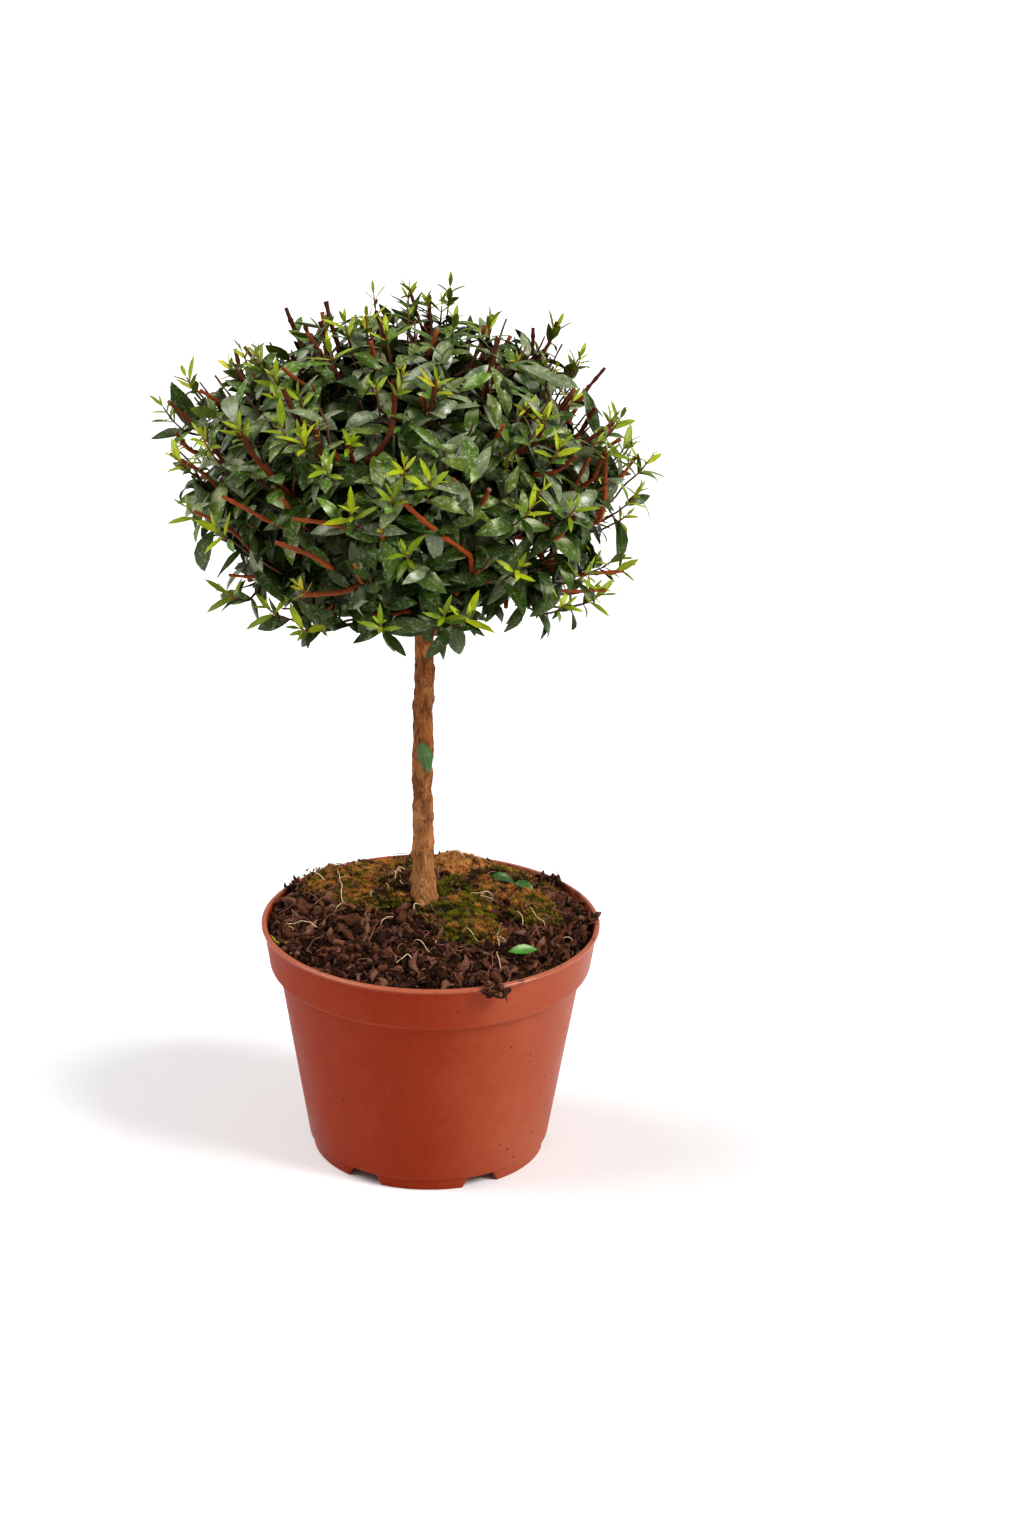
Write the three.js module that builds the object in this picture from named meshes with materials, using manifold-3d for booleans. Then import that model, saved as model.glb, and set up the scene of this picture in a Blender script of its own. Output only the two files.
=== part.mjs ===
// A small-leaved evergreen grown as a ball-headed standard, in a plain plastic nursery pot.
// Millimetres, +Z up. The origin is the centre of the pot's flat underside.
import * as THREE from "three";
import { mergeVertices } from "three/addons/utils/BufferGeometryUtils.js";
import Module from "manifold-3d";

const wasm = await Module();
wasm.setup();

// Driving dimensions
const overallHeight = 300; // pot underside to the highest shoot
const clearance = 0.3; // gap between pieces that rest on each other

const pot = {
  sides: 48,
  height: 81,
  lipRadius: 56.5,
  lipWidth: 2.1,
  lipHeight: 1.7,
  bandTopRadius: 55.6,
  bandLowRadius: 53.6,
  bandLowZ: 65,
  bodyTopRadius: 50.6,
  bodyLowRadius: 40.4,
  footRadius: 39,
  footWidth: 1.6,
  footHeight: 3.8,
  padRadius: 20, // the middle of the floor, which stands on the ground
  wall: 1.1,
};
const notch = { count: 6, firstAngle: -122, height: 3.4, topWidth: 9.5, footWidth: 13, depth: 8 };
const drain = { radius: 3, ring: 30, sides: 10, length: 6 };

const trunk = {
  sides: 12,
  baseZ: 88.4,
  baseX: -2.4,
  forkX: -3.4,
  forkZ: 203,
  tipZ: 207.5,
  flareRadius: 5,
  radius: 3.65,
  tipRadius: 3.2,
  sway: 0.35,
  shares: [0, 0.03, 0.07, 0.14, 0.3, 0.5, 0.7, 0.8, 0.86, 0.92, 0.97, 1],
};
const soil = { rings: 5, edgeZ: 79, centreRise: 9, backRise: 3, crumb: 0.35, seatRadius: 6.2 };
const mossCushions = {
  moss_left: { x: -25, y: 21, radiusX: 19, radiusY: 17, rise: 3.2 },
  moss_front: { x: 11, y: -13, radiusX: 17, radiusY: 11, rise: 3.0 },
  moss_right: { x: 33, y: 6, radiusX: 15, radiusY: 10, rise: 2.6 },
  moss_back: { x: 9, y: 36, radiusX: 13, radiusY: 9, rise: 4.0 },
};
const mossSkirt = 1.5; // how far a cushion's rounded edge would reach below the soil's skin

// The crown is a flattened ball: half sizes of its clipped outline, and how square its shoulders are.
const crown = {
  x: -10.5,
  y: 0,
  z: 240,
  halfWidth: 74,
  halfDepth: 71,
  halfHeight: 50,
  squareness: 2.5,
};
const boughs = {
  count: 13,
  lowestSine: -0.2,
  reach: 25, // from the fork to where each bough enters its mass
  straightEnd: 6,
  baseRadius: 1.75,
  tipRadius: 1.25,
  lowestStart: -20, // from the fork's level
  highestStart: 3,
  sides: 5,
};
const branchlets = { count: 78, lowestSine: -0.46, radii: [1.1, 0.9, 0.7], drawnToStem: 0.12 };
const tipReach = { least: 1.05, spread: 0.08, most: 1.22 }; // shares of the distance to the outline
const leaf = {
  length: 21,
  width: 9,
  thickness: 1.1,
  fold: 0.9,
  droop: 1.1,
  angle: 50,
  pairsAt: [0.3, 0.78],
};
const shootLeaf = { length: 15, width: 5, thickness: 0.9, fold: 0.5, droop: 0 };
const waist = 0.46; // where a leaf is widest, as a share of its length
const leafSink = 0.3; // how deep a leaf's root sits in its twig
const leader = { x: 1, y: -4 }; // where the highest shoot ends, at the overall height
const core = { heartShare: 0.42, reachShare: 0.74, wallGap: 1.6, boughGap: 3, shrink: 0.97 };
const spaceMargin = 0.35; // every mass keeps this far from the walls of its own space
const trunkRoom = 9; // radius kept free of leaves round the trunk below the fork
const finestEdge = 0.03; // slivers under this are closed up where leaves cross their twig
const foliageSeed = 40;
const goldenAngle = Math.PI * (3 - Math.sqrt(5));

const finish = {
  pot: { color: 0xa8452a, roughness: 0.45, metalness: 0 },
  soil: { color: 0x3a2620, roughness: 0.95, metalness: 0 },
  moss: { color: 0x6d6a24, roughness: 0.95, metalness: 0 },
  bark: { color: 0xa5714a, roughness: 0.8, metalness: 0 },
  twig: { color: 0x74382a, roughness: 0.6, metalness: 0 },
  foliage: { color: 0x2f5a2e, roughness: 0.45, metalness: 0 },
};

// A small repeatable source of numbers from 0 to 1
function seeded(seed) {
  let state = seed;
  return () => {
    state = (state * 1664525 + 1013904223) % 4294967296;
    return state / 4294967296;
  };
}

// Moves every vertex of a geometry by a function of its old position.
function reshape(geometry, rule) {
  const position = geometry.getAttribute("position");
  for (let i = 0; i < position.count; i++) {
    const p = rule(new THREE.Vector3().fromBufferAttribute(position, i));
    position.setXYZ(i, p.x, p.y, p.z);
  }
  return geometry;
}

function verticesOf(geometry) {
  const position = geometry.getAttribute("position");
  const vertex = (_, i) => new THREE.Vector3().fromBufferAttribute(position, i);
  return Array.from({ length: position.count }, vertex);
}

// A closed geometry as a solid that can be joined and cut
function solidOf(geometry) {
  const bare = new THREE.BufferGeometry().setAttribute("position", geometry.getAttribute("position"));
  bare.setIndex(geometry.index);
  const merged = mergeVertices(bare, 1e-4);
  return new wasm.Manifold(
    new wasm.Mesh({
      numProp: 3,
      vertProperties: new Float32Array(merged.attributes.position.array),
      triVerts: new Uint32Array(merged.index.array),
    }),
  );
}

function geometryOf(solid) {
  const mesh = solid.getMesh();
  const geometry = new THREE.BufferGeometry();
  geometry.setAttribute("position", new THREE.BufferAttribute(new Float32Array(mesh.vertProperties), 3));
  geometry.setIndex(new THREE.BufferAttribute(new Uint32Array(mesh.triVerts), 1));
  geometry.computeVertexNormals();
  return geometry;
}

function largestPiece(solid) {
  return solid.decompose().sort((a, b) => b.volume() - a.volume())[0];
}

// A cylinder bent along a path, with a radius for each point of it. Its rings stand square to the path,
// or level where level is true.
function limb(path, radii, sides, level = false) {
  const side = new THREE.Vector3();
  const frames = path.map((point, i) => {
    const ahead = path[Math.min(i + 1, path.length - 1)];
    const behind = path[Math.max(i - 1, 0)];
    const along = level ? new THREE.Vector3(0, 0, 1) : ahead.clone().sub(behind).normalize();
    if (i === 0) {
      const helper = Math.abs(along.z) > 0.9 ? new THREE.Vector3(1, 0, 0) : new THREE.Vector3(0, 0, 1);
      side.crossVectors(helper, along).normalize();
    } else {
      side.addScaledVector(along, -side.dot(along)).normalize();
    }
    return { point, side: side.clone(), other: along.clone().cross(side) };
  });
  const last = path.length - 1;
  return reshape(new THREE.CylinderGeometry(1, 1, 1, sides, last), (p) => {
    const i = Math.round((0.5 - p.y) * last);
    const { point, side: across, other } = frames[i];
    return point.clone().addScaledVector(across, p.x * radii[i]).addScaledVector(other, p.z * radii[i]);
  });
}

// A profile of [radius, height] pairs, spun about the Z axis
function spun(profile, sides) {
  const points = profile.map(([r, z]) => new THREE.Vector2(r, z));
  return new THREE.LatheGeometry(points, sides).rotateX(Math.PI / 2);
}

// Pot: foot ring and floor pad on the ground, tapered body, wide band and rounded lip
function potInside(gap) {
  // Floor middle to lip, moved inwards by gap
  const p = pot;
  const floor = p.footHeight + p.wall;
  return [
    [0, p.wall + gap],
    [p.padRadius - p.wall - gap, p.wall + gap],
    [p.padRadius + p.wall - gap, floor + gap],
    [p.bodyLowRadius - p.wall - gap, floor + gap],
    [p.bodyTopRadius - p.wall - gap, p.bandLowZ],
    [p.bandLowRadius - p.wall - gap, p.bandLowZ + 2 * p.wall],
    [p.lipRadius - p.lipWidth - gap, p.height - p.lipHeight],
  ];
}

function makePot() {
  const p = pot;
  const outside = [
    [0, 0],
    [p.padRadius, 0],
    [p.padRadius + p.wall, p.footHeight],
    [p.footRadius - p.footWidth - 0.3, p.footHeight],
    [p.footRadius - p.footWidth, 0],
    [p.footRadius, 0],
    [p.footRadius + 0.4, p.footHeight],
    [p.bodyLowRadius, p.footHeight + 0.6],
    [p.bodyTopRadius, p.bandLowZ],
    [p.bandLowRadius - 1.2, p.bandLowZ],
    [p.bandLowRadius, p.bandLowZ + 1.4],
    [p.bandTopRadius, p.height - p.lipHeight],
    [p.lipRadius, p.height - p.lipHeight + 0.3],
    [p.lipRadius, p.height - 0.5],
    [p.lipRadius - 0.7, p.height],
    [p.lipRadius - p.lipWidth + 0.6, p.height],
  ];
  let body = solidOf(spun([...outside, ...potInside(0).reverse()], p.sides));
  for (let i = 0; i < notch.count; i++) {
    const turn = THREE.MathUtils.degToRad(notch.firstAngle + (360 / notch.count) * i - 90);
    body = body.subtract(solidOf(notchCutter().rotateZ(turn)));
    body = body.subtract(solidOf(drainCutter().rotateZ(turn)));
  }
  return geometryOf(body);
}

// A tapered notch through the foot ring, at the +Y side
function notchCutter() {
  const outline = new THREE.Shape([
    new THREE.Vector2(-notch.footWidth / 2, -clearance),
    new THREE.Vector2(notch.footWidth / 2, -clearance),
    new THREE.Vector2(notch.topWidth / 2, notch.height),
    new THREE.Vector2(-notch.topWidth / 2, notch.height),
  ]);
  const cutter = new THREE.ExtrudeGeometry(outline, { depth: notch.depth, bevelEnabled: false });
  return cutter.rotateX(Math.PI / 2).translate(0, pot.footRadius + notch.depth / 2, 0);
}

// A drain hole through the floor, inside the notch at the +Y side
function drainCutter() {
  const hole = new THREE.CylinderGeometry(drain.radius, drain.radius, drain.length, drain.sides);
  return hole.rotateX(Math.PI / 2).translate(0, drain.ring, pot.footHeight + pot.wall / 2);
}

// Height of the soil: a mound that is highest round the trunk and fuller at the back
function soilHeight(x, y) {
  const fromTrunk = Math.hypot(x - trunk.baseX, y) / pot.bandTopRadius;
  const mound = soil.centreRise * Math.max(0, 1 - fromTrunk * fromTrunk);
  const back = (soil.backRise * Math.max(0, y)) / pot.bandTopRadius;
  return soil.edgeZ + mound + back + soil.crumb * Math.sin(x * 0.31 + 1) * Math.cos(y * 0.27);
}

// Soil fills the pot, 0.3 mm clear of it. Its top rings close in on a flat seat under the trunk.
function makeSoil() {
  const wall = potInside(clearance);
  const wallRadius = wall.pop()[0];
  const seatZ = trunk.baseZ - clearance;
  const topRadii = [];
  for (let k = soil.rings; k >= 0; k--) {
    topRadii.push(soil.seatRadius + ((wallRadius - soil.seatRadius) * k) / soil.rings);
  }
  const top = topRadii.map((radius) => [radius, seatZ]);
  return reshape(spun([...wall, ...top, [0, seatZ]], pot.sides), (p) => {
    if (p.z < seatZ - 0.01) return p;
    const radius = Math.hypot(p.x, p.y);
    const share = (radius - soil.seatRadius) / (wallRadius - soil.seatRadius);
    p.x += trunk.baseX * (1 - Math.max(0, share));
    if (share > 0.01) p.z = soilHeight(p.x, p.y);
    return p;
  });
}

// A low lobed cushion of moss, cut by the soil under it raised by the clearance
function makeMoss({ x, y, radiusX, radiusY, rise }, raisedSoil) {
  const dome = new THREE.SphereGeometry(1, 14, 8).rotateX(Math.PI / 2);
  reshape(dome, (p) => {
    const lobes = 1 + 0.13 * Math.sin(3 * Math.atan2(p.y, p.x) + x);
    return new THREE.Vector3(x + p.x * radiusX * lobes, y + p.y * radiusY * lobes, p.z * (rise + mossSkirt));
  });
  dome.translate(0, 0, soilHeight(x, y) - mossSkirt + clearance);
  return geometryOf(largestPiece(solidOf(dome).subtract(raisedSoil)).translate([-x, -y, 0]));
}

// Trunk: level rings from the flat cut on the soil, root flare, a faint sway, and its tip in the fork
function trunkPoint(share) {
  const lean = trunk.baseX + (trunk.forkX - trunk.baseX) * share;
  const sway = trunk.sway * Math.sin(share * 5);
  return new THREE.Vector3(lean - sway, sway, trunk.baseZ + (trunk.tipZ - trunk.baseZ) * share);
}

function trunkRadius(share) {
  const flare = (trunk.flareRadius - trunk.radius) * Math.exp(-share * 22);
  const knuckle = 0.35 * Math.exp(-(((share - 0.9) / 0.08) ** 2));
  return trunk.radius + (trunk.tipRadius - trunk.radius) * share + flare + knuckle;
}

function makeTrunk(grow = 0) {
  const path = trunk.shares.map(trunkPoint);
  path[path.length - 1].z += grow;
  const radii = trunk.shares.map((share) => trunkRadius(share) + grow);
  return limb(path, radii, trunk.sides, true);
}

// The crown is worked out from the fork, as directions and the distance to the outline along them.
const fork = new THREE.Vector3(trunk.forkX, 0, trunk.forkZ);

// Evenly spread directions on a golden-angle spiral, from a lowest slope up to the zenith
function spiralDirection(i, count, lowestSine) {
  const sine = lowestSine + ((1 - lowestSine) * (i + 0.5)) / count;
  const level = Math.sqrt(1 - sine * sine);
  return new THREE.Vector3(level * Math.cos(i * goldenAngle), level * Math.sin(i * goldenAngle), sine);
}

// 1 on the clipped outline and less inside it, for a point measured from the fork
function outlineValue(p) {
  const n = crown.squareness;
  const acrossX = (p.x + fork.x - crown.x) / crown.halfWidth;
  const acrossY = (p.y + fork.y - crown.y) / crown.halfDepth;
  const up = Math.abs(p.z + fork.z - crown.z) / crown.halfHeight;
  return (Math.hypot(acrossX, acrossY) ** n + up ** n) ** (1 / n);
}

// The largest distance along a ray that still passes a test, found by halving
function farthest(test, limit) {
  let near = 0;
  let far = limit;
  for (let i = 0; i < 30; i++) {
    const middle = (near + far) / 2;
    if (test(middle)) near = middle;
    else far = middle;
  }
  return near;
}

function outlineDistance(direction) {
  const inside = (distance) => outlineValue(direction.clone().multiplyScalar(distance)) < 1;
  return farthest(inside, 2 * crown.halfWidth);
}

const boughDirections = [];
for (let i = 0; i < boughs.count; i++) {
  boughDirections.push(spiralDirection(i, boughs.count, boughs.lowestSine));
}

const branchletTargets = [];
for (let i = 0; i + 1 < branchlets.count; i++) {
  branchletTargets.push(spiralDirection(i, branchlets.count, branchlets.lowestSine));
}
const leaderTip = new THREE.Vector3(leader.x, leader.y, overallHeight).sub(fork);
branchletTargets.push(leaderTip.clone().normalize());

function nearestBough(target) {
  const closeness = boughDirections.map((direction) => direction.dot(target));
  return closeness.indexOf(Math.max(...closeness));
}

// A mass's space is the cone of directions nearest its own bough. These are its walls, facing in.
function spaceWalls(own) {
  return boughDirections
    .filter((_, j) => j !== own)
    .map((other) => boughDirections[own].clone().sub(other).normalize());
}

function clearOfTrunk(p) {
  return p.z > 0 || Math.hypot(p.x, p.y) > trunkRoom;
}

function insideSpace(points, walls) {
  return points.every(
    (p) =>
      walls.every((wall) => p.dot(wall) > spaceMargin) &&
      p.length() > boughs.reach + 1 &&
      outlineValue(p) < tipReach.most &&
      p.z + fork.z < overallHeight + 0.01 &&
      clearOfTrunk(p),
  );
}

// Bough i leaves the trunk at its own height, on its own side, and ends square to its direction.
function makeBough(i, grownTrunk) {
  const direction = boughDirections[i];
  const start = new THREE.Vector3(direction.x, direction.y, 0).setLength(trunk.tipRadius * 0.75);
  start.z = boughs.lowestStart + ((boughs.highestStart - boughs.lowestStart) * i) / (boughs.count - 1);
  const straight = direction.clone().multiplyScalar(boughs.reach - boughs.straightEnd);
  const rising = start.clone().lerp(straight, 0.45).setZ(start.z + 2.5);
  const curve = new THREE.QuadraticBezierCurve3(start, rising, straight);
  const path = [...curve.getPoints(3), direction.clone().multiplyScalar(boughs.reach)];
  const taper = (boughs.tipRadius - boughs.baseRadius) / (path.length - 1);
  const radii = path.map((_, k) => boughs.baseRadius + taper * k);
  return geometryOf(largestPiece(solidOf(limb(path, radii, boughs.sides)).subtract(grownTrunk)));
}

// A leaf is an octahedron drawn out into a flat blade, folded along its rib.
function leafBlade(size, root, along, up) {
  const side = along.clone().cross(up).normalize();
  const lift = side.clone().cross(along).normalize();
  return reshape(new THREE.OctahedronGeometry(1), (p) => {
    const forward = size.length * (p.y > 0.5 ? 1 : p.y < -0.5 ? 0 : waist);
    const fold = Math.abs(p.x) * size.fold - Math.max(0, p.y) * size.droop;
    return root
      .clone()
      .addScaledVector(side, (p.x * size.width) / 2)
      .addScaledVector(along, forward)
      .addScaledVector(lift, (p.z * size.thickness) / 2 + fold);
  });
}

function leafFits(blade, root, walls) {
  return insideSpace(verticesOf(blade).filter((p) => p.distanceTo(root) > 0.01), walls);
}

// The core of a clipped mass: a ball pushed out to the walls of its space and towards the outline
function coreSolid(own, walls) {
  const direction = boughDirections[own];
  const depth = outlineDistance(direction) - boughs.reach;
  const heart = direction.clone().multiplyScalar(boughs.reach + core.heartShare * depth);
  const allowed = (p) => {
    const outer = outlineDistance(p.clone().normalize());
    return (
      walls.every((wall) => p.dot(wall) > core.wallGap) &&
      p.dot(direction) > boughs.reach + core.boughGap &&
      p.length() < boughs.reach + core.reachShare * (outer - boughs.reach) &&
      clearOfTrunk(p)
    );
  };
  const ball = reshape(new THREE.IcosahedronGeometry(1, 1), (ray) => {
    const inside = (distance) => allowed(heart.clone().addScaledVector(ray, distance));
    return heart.clone().addScaledVector(ray, farthest(inside, crown.halfWidth) * core.shrink);
  });
  return solidOf(ball);
}

// The path of a branchlet: from the mass's stem out to its own share of the outline
function branchletPath(own, target, random) {
  const stem = boughDirections[own];
  const isLeader = target === branchletTargets[branchlets.count - 1];
  const toward = isLeader ? target.clone() : target.clone().lerp(stem, branchlets.drawnToStem).normalize();
  const share = tipReach.least + tipReach.spread * random();
  const reach = isLeader ? leaderTip.length() : outlineDistance(toward) * share;
  const rootAt = boughs.reach + (0.25 + 0.15 * random()) * (reach - boughs.reach);
  const root = stem.clone().multiplyScalar(rootAt);
  const end = toward.clone().multiplyScalar(reach - shootLeaf.length);
  const middle = root.clone().lerp(end, 0.5).lerp(toward.clone().multiplyScalar(rootAt), 0.2);
  return { toward, root, middle, end };
}

// A leaf on the outer half of a branchlet, turned a little if it doesn't fit its space as it is
function fittedLeaf(at, along, roll, angle, walls) {
  const level = along.clone().cross(new THREE.Vector3(0, 0, 1)).normalize();
  for (const turn of [0, 0.35, -0.35, 0.7, -0.7]) {
    const out = level.clone().applyAxisAngle(along, roll + turn);
    const lean = along.clone().multiplyScalar(Math.cos(angle)).addScaledVector(out, Math.sin(angle));
    const root = at.clone().addScaledVector(lean, -leafSink);
    const blade = leafBlade(leaf, root, lean, along);
    if (leafFits(blade, root, walls)) return [solidOf(blade)];
  }
  return [];
}

// One branchlet: a three-sided twig with opposite leaves in crossed pairs and a young shoot on its end
function branchletSolids(own, target, walls, random) {
  const { toward, root, middle, end } = branchletPath(own, target, random);
  const twig = limb([root, middle, end], branchlets.radii, 3);
  const outerPoints = verticesOf(twig).filter((p) => p.distanceTo(root) > 2 * branchlets.radii[0]);
  if (!insideSpace(outerPoints, walls)) return [];
  const solids = [solidOf(twig)];
  const along = end.clone().sub(middle).normalize();
  const shootRoot = end.clone().addScaledVector(toward, -leafSink);
  const shootSize = { ...shootLeaf, length: shootLeaf.length + leafSink };
  const shoot = leafBlade(shootSize, shootRoot, toward, new THREE.Vector3(0.3, 1, 0.2));
  if (leafFits(shoot, shootRoot, walls)) solids.push(solidOf(shoot));
  const firstRoll = random() * Math.PI;
  leaf.pairsAt.forEach((share, k) => {
    const at = middle.clone().lerp(end, share);
    for (const side of [0, Math.PI]) {
      const angle = THREE.MathUtils.degToRad(leaf.angle) * (0.9 + 0.25 * random());
      solids.push(...fittedLeaf(at, along, firstRoll + (k * Math.PI) / 2 + side, angle, walls));
    }
  });
  return solids;
}

// A mass fused into one solid: the stem that meets the bough's tip, the core, and each branchlet that
// is nearest its own direction
function fusedMass(own, seed) {
  const walls = spaceWalls(own);
  const direction = boughDirections[own];
  const random = seeded(seed);
  const stemEnd = (boughs.reach + outlineDistance(direction)) / 2;
  const stemPath = [boughs.reach + clearance, stemEnd].map((d) => direction.clone().multiplyScalar(d));
  const solids = [
    solidOf(limb(stemPath, [boughs.tipRadius, boughs.tipRadius * 0.9], boughs.sides)),
    coreSolid(own, walls),
  ];
  branchletTargets
    .filter((target) => nearestBough(target) === own)
    .forEach((target) => solids.push(...branchletSolids(own, target, walls, random)));
  return largestPiece(wasm.Manifold.union(solids).simplify(finestEdge));
}

// Whether a skin stays closed when its corners are rounded to a thousandth of a millimetre
function staysClosed(solid) {
  const { triVerts, vertProperties } = solid.getMesh();
  const rounded = Array.from(vertProperties, (n) => Math.round(n * 1000));
  const corner = (v) => rounded.slice(3 * v, 3 * v + 3).join();
  const edges = new Set();
  for (let i = 0; i < triVerts.length; i += 3) {
    const [a, b, c] = [0, 1, 2].map((k) => corner(triVerts[i + k]));
    if (a === b || b === c || c === a) continue;
    for (const edge of [a + ">" + b, b + ">" + c, c + ">" + a]) {
      if (edges.has(edge)) return false;
      edges.add(edge);
    }
  }
  return true;
}

function makeMass(own) {
  let seed = foliageSeed + own;
  let mass = fusedMass(own, seed);
  while (!staysClosed(mass)) {
    seed += boughs.count;
    mass = fusedMass(own, seed);
  }
  return geometryOf(mass);
}

// Scene graph
function piece(name, geometry, look) {
  const mesh = new THREE.Mesh(geometry, new THREE.MeshStandardMaterial(look));
  mesh.name = name;
  return mesh;
}

const potGroup = new THREE.Group();
const soilGeometry = makeSoil();
potGroup.add(piece("pot", makePot(), finish.pot), piece("soil", soilGeometry, finish.soil));
const raisedSoil = solidOf(soilGeometry).translate([0, 0, clearance]);
for (const [name, cushion] of Object.entries(mossCushions)) {
  const moss = piece(name, makeMoss(cushion, raisedSoil), finish.moss);
  moss.position.set(cushion.x, cushion.y, 0);
  potGroup.add(moss);
}

const crownGroup = new THREE.Group();
crownGroup.position.copy(fork);
const grownTrunk = solidOf(makeTrunk(clearance)).translate([-fork.x, -fork.y, -fork.z]);
for (let i = 0; i < boughs.count; i++) {
  const number = String(i + 1).padStart(2, "0");
  crownGroup.add(piece("bough_" + number, makeBough(i, grownTrunk), finish.twig));
  crownGroup.add(piece("foliage_" + number, makeMass(i), finish.foliage));
}

const plant = new THREE.Group();
plant.add(potGroup, piece("trunk", makeTrunk(), finish.bark), crownGroup);

export default plant;
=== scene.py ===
# A small-leaved evergreen grown as a ball on a bare stem, in a plastic nursery pot.
# Sizes in the dictionaries are millimetres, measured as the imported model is; meshes are put in metres.
import math

import bpy
import numpy as np
from mathutils import Matrix, Vector


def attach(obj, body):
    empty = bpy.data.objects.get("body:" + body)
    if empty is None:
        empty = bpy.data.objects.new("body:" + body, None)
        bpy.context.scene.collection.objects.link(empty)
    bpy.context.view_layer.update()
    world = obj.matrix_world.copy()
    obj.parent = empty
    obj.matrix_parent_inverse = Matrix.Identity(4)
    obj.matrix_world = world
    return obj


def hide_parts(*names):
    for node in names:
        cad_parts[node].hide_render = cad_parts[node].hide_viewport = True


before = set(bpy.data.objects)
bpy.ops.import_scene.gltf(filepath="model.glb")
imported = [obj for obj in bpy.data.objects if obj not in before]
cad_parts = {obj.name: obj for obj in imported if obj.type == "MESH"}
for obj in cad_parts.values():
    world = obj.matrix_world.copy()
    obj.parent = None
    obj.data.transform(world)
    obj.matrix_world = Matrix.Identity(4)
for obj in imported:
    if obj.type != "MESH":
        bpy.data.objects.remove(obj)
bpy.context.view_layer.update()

metresPerMm = 0.001
zenith = np.array([0.0, 0.0, 1.0])
goldenAngle = math.pi * (3 - math.sqrt(5))


# Vectors and random fields

def unit(v):
    return v / np.maximum(np.linalg.norm(v, axis=-1, keepdims=True), 1e-9)


def dot(a, b):
    return (a * b).sum(-1, keepdims=True)


# Sum of sines in random directions, each about one wavelength long, with unit spread
def ripple(points, wavelength, seed, count=18):
    dice = np.random.default_rng(seed)
    waves = unit(dice.normal(size=(count, 3))) * dice.uniform(0.7, 1.4, (count, 1)) * 2 * math.pi / wavelength
    phases = dice.uniform(0, 2 * math.pi, count)
    return np.sin(points @ waves.T + phases).sum(-1) * math.sqrt(2 / count)


# Three ripples as the x, y and z of a random swerve
def swerve(points, wavelength, seed):
    return np.stack([ripple(points, wavelength, seed + k) for k in range(3)], -1)


def smoothStep(low, high, value):
    share = np.clip((value - low) / (high - low), 0, 1)
    return share * share * (3 - 2 * share)


# Angles of points evenly spaced round a ring
def fullTurn(count):
    return np.arange(count) * 2 * math.pi / count


# Curves and paths

# Points on quadratic curves with ends a and c and middles b, at shares s of the way; and the slope there
def curvePoint(a, b, c, s):
    s = np.asarray(s)[..., None]
    return (1 - s) ** 2 * a[:, None] + 2 * s * (1 - s) * b[:, None] + s ** 2 * c[:, None]


def curveSlope(a, b, c, s):
    s = np.asarray(s)[..., None]
    return unit((1 - s) * (b - a)[:, None] + s * (c - b)[:, None])


# Point and direction at shares of paths whose points are evenly parted
def pathPoint(paths, share):
    at = np.clip(share, 0, 1) * (paths.shape[1] - 1)
    k = np.minimum(at.astype(int), paths.shape[1] - 2)
    rows = np.arange(len(paths))[:, None]
    first, second = paths[rows, k], paths[rows, k + 1]
    return first + (second - first) * (at - k)[..., None], unit(second - first)


def pathLength(paths):
    return np.linalg.norm(np.diff(paths, axis=1), axis=2).sum(1)


# A smooth line through a few corners, evenly parted: its corners are cut three times
def smoothPath(corners, count):
    for _ in range(3):
        first, second = corners[:-1] * 0.75 + corners[1:] * 0.25, corners[:-1] * 0.25 + corners[1:] * 0.75
        corners = np.concatenate([corners[:1], np.stack([first, second], 1).reshape(-1, 3), corners[-1:]])
    run = np.concatenate([[0], np.cumsum(np.linalg.norm(np.diff(corners, axis=0), axis=1))])
    at = np.linspace(0, run[-1], count)
    return np.stack([np.interp(at, run, corners[:, k]) for k in range(3)], 1)


# How far a path turns in all, in degrees
def turned(path):
    steps = unit(np.diff(path, axis=0))
    return np.degrees(np.arccos(np.clip((steps[1:] * steps[:-1]).sum(1), -1, 1)).sum())


# Paths with more points between, which wander a little between their ends
def wandering(paths, count, wavelength, amount, seed):
    share = np.linspace(0, 1, count)
    finer, _ = pathPoint(paths, np.tile(share, (len(paths), 1)))
    return finer + swerve(finer, wavelength, seed) * amount * np.sin(math.pi * share)[:, None]


# Meshes: a surface is its points, then its arrays of faces

# Copies as one surface: points are (copies, points of each, 3), and faces are those of one copy
def manyCopies(points, *faces):
    count, each = points.shape[:2]
    shift = each * np.arange(count)[:, None, None]
    faces = [(np.asarray(part)[None] + shift).reshape(-1, len(part[0])) for part in faces]
    return [points.reshape(-1, 3), *faces]


# Faces of rings of points that follow one another, closed by fans round a foot point and a top point
def ringFaces(rings, sides):
    s = np.arange(sides)
    nextS = (s + 1) % sides
    r = np.arange(rings - 1)[:, None] * sides
    quads = np.stack([r + s, r + nextS, r + sides + nextS, r + sides + s], -1).reshape(-1, 4)
    foot, top, last = rings * sides, rings * sides + 1, (rings - 1) * sides
    fans = np.concatenate([np.stack([np.full(sides, foot), nextS, s], -1),
                           np.stack([np.full(sides, top), last + s, last + nextS], -1)])
    return quads, fans


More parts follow.
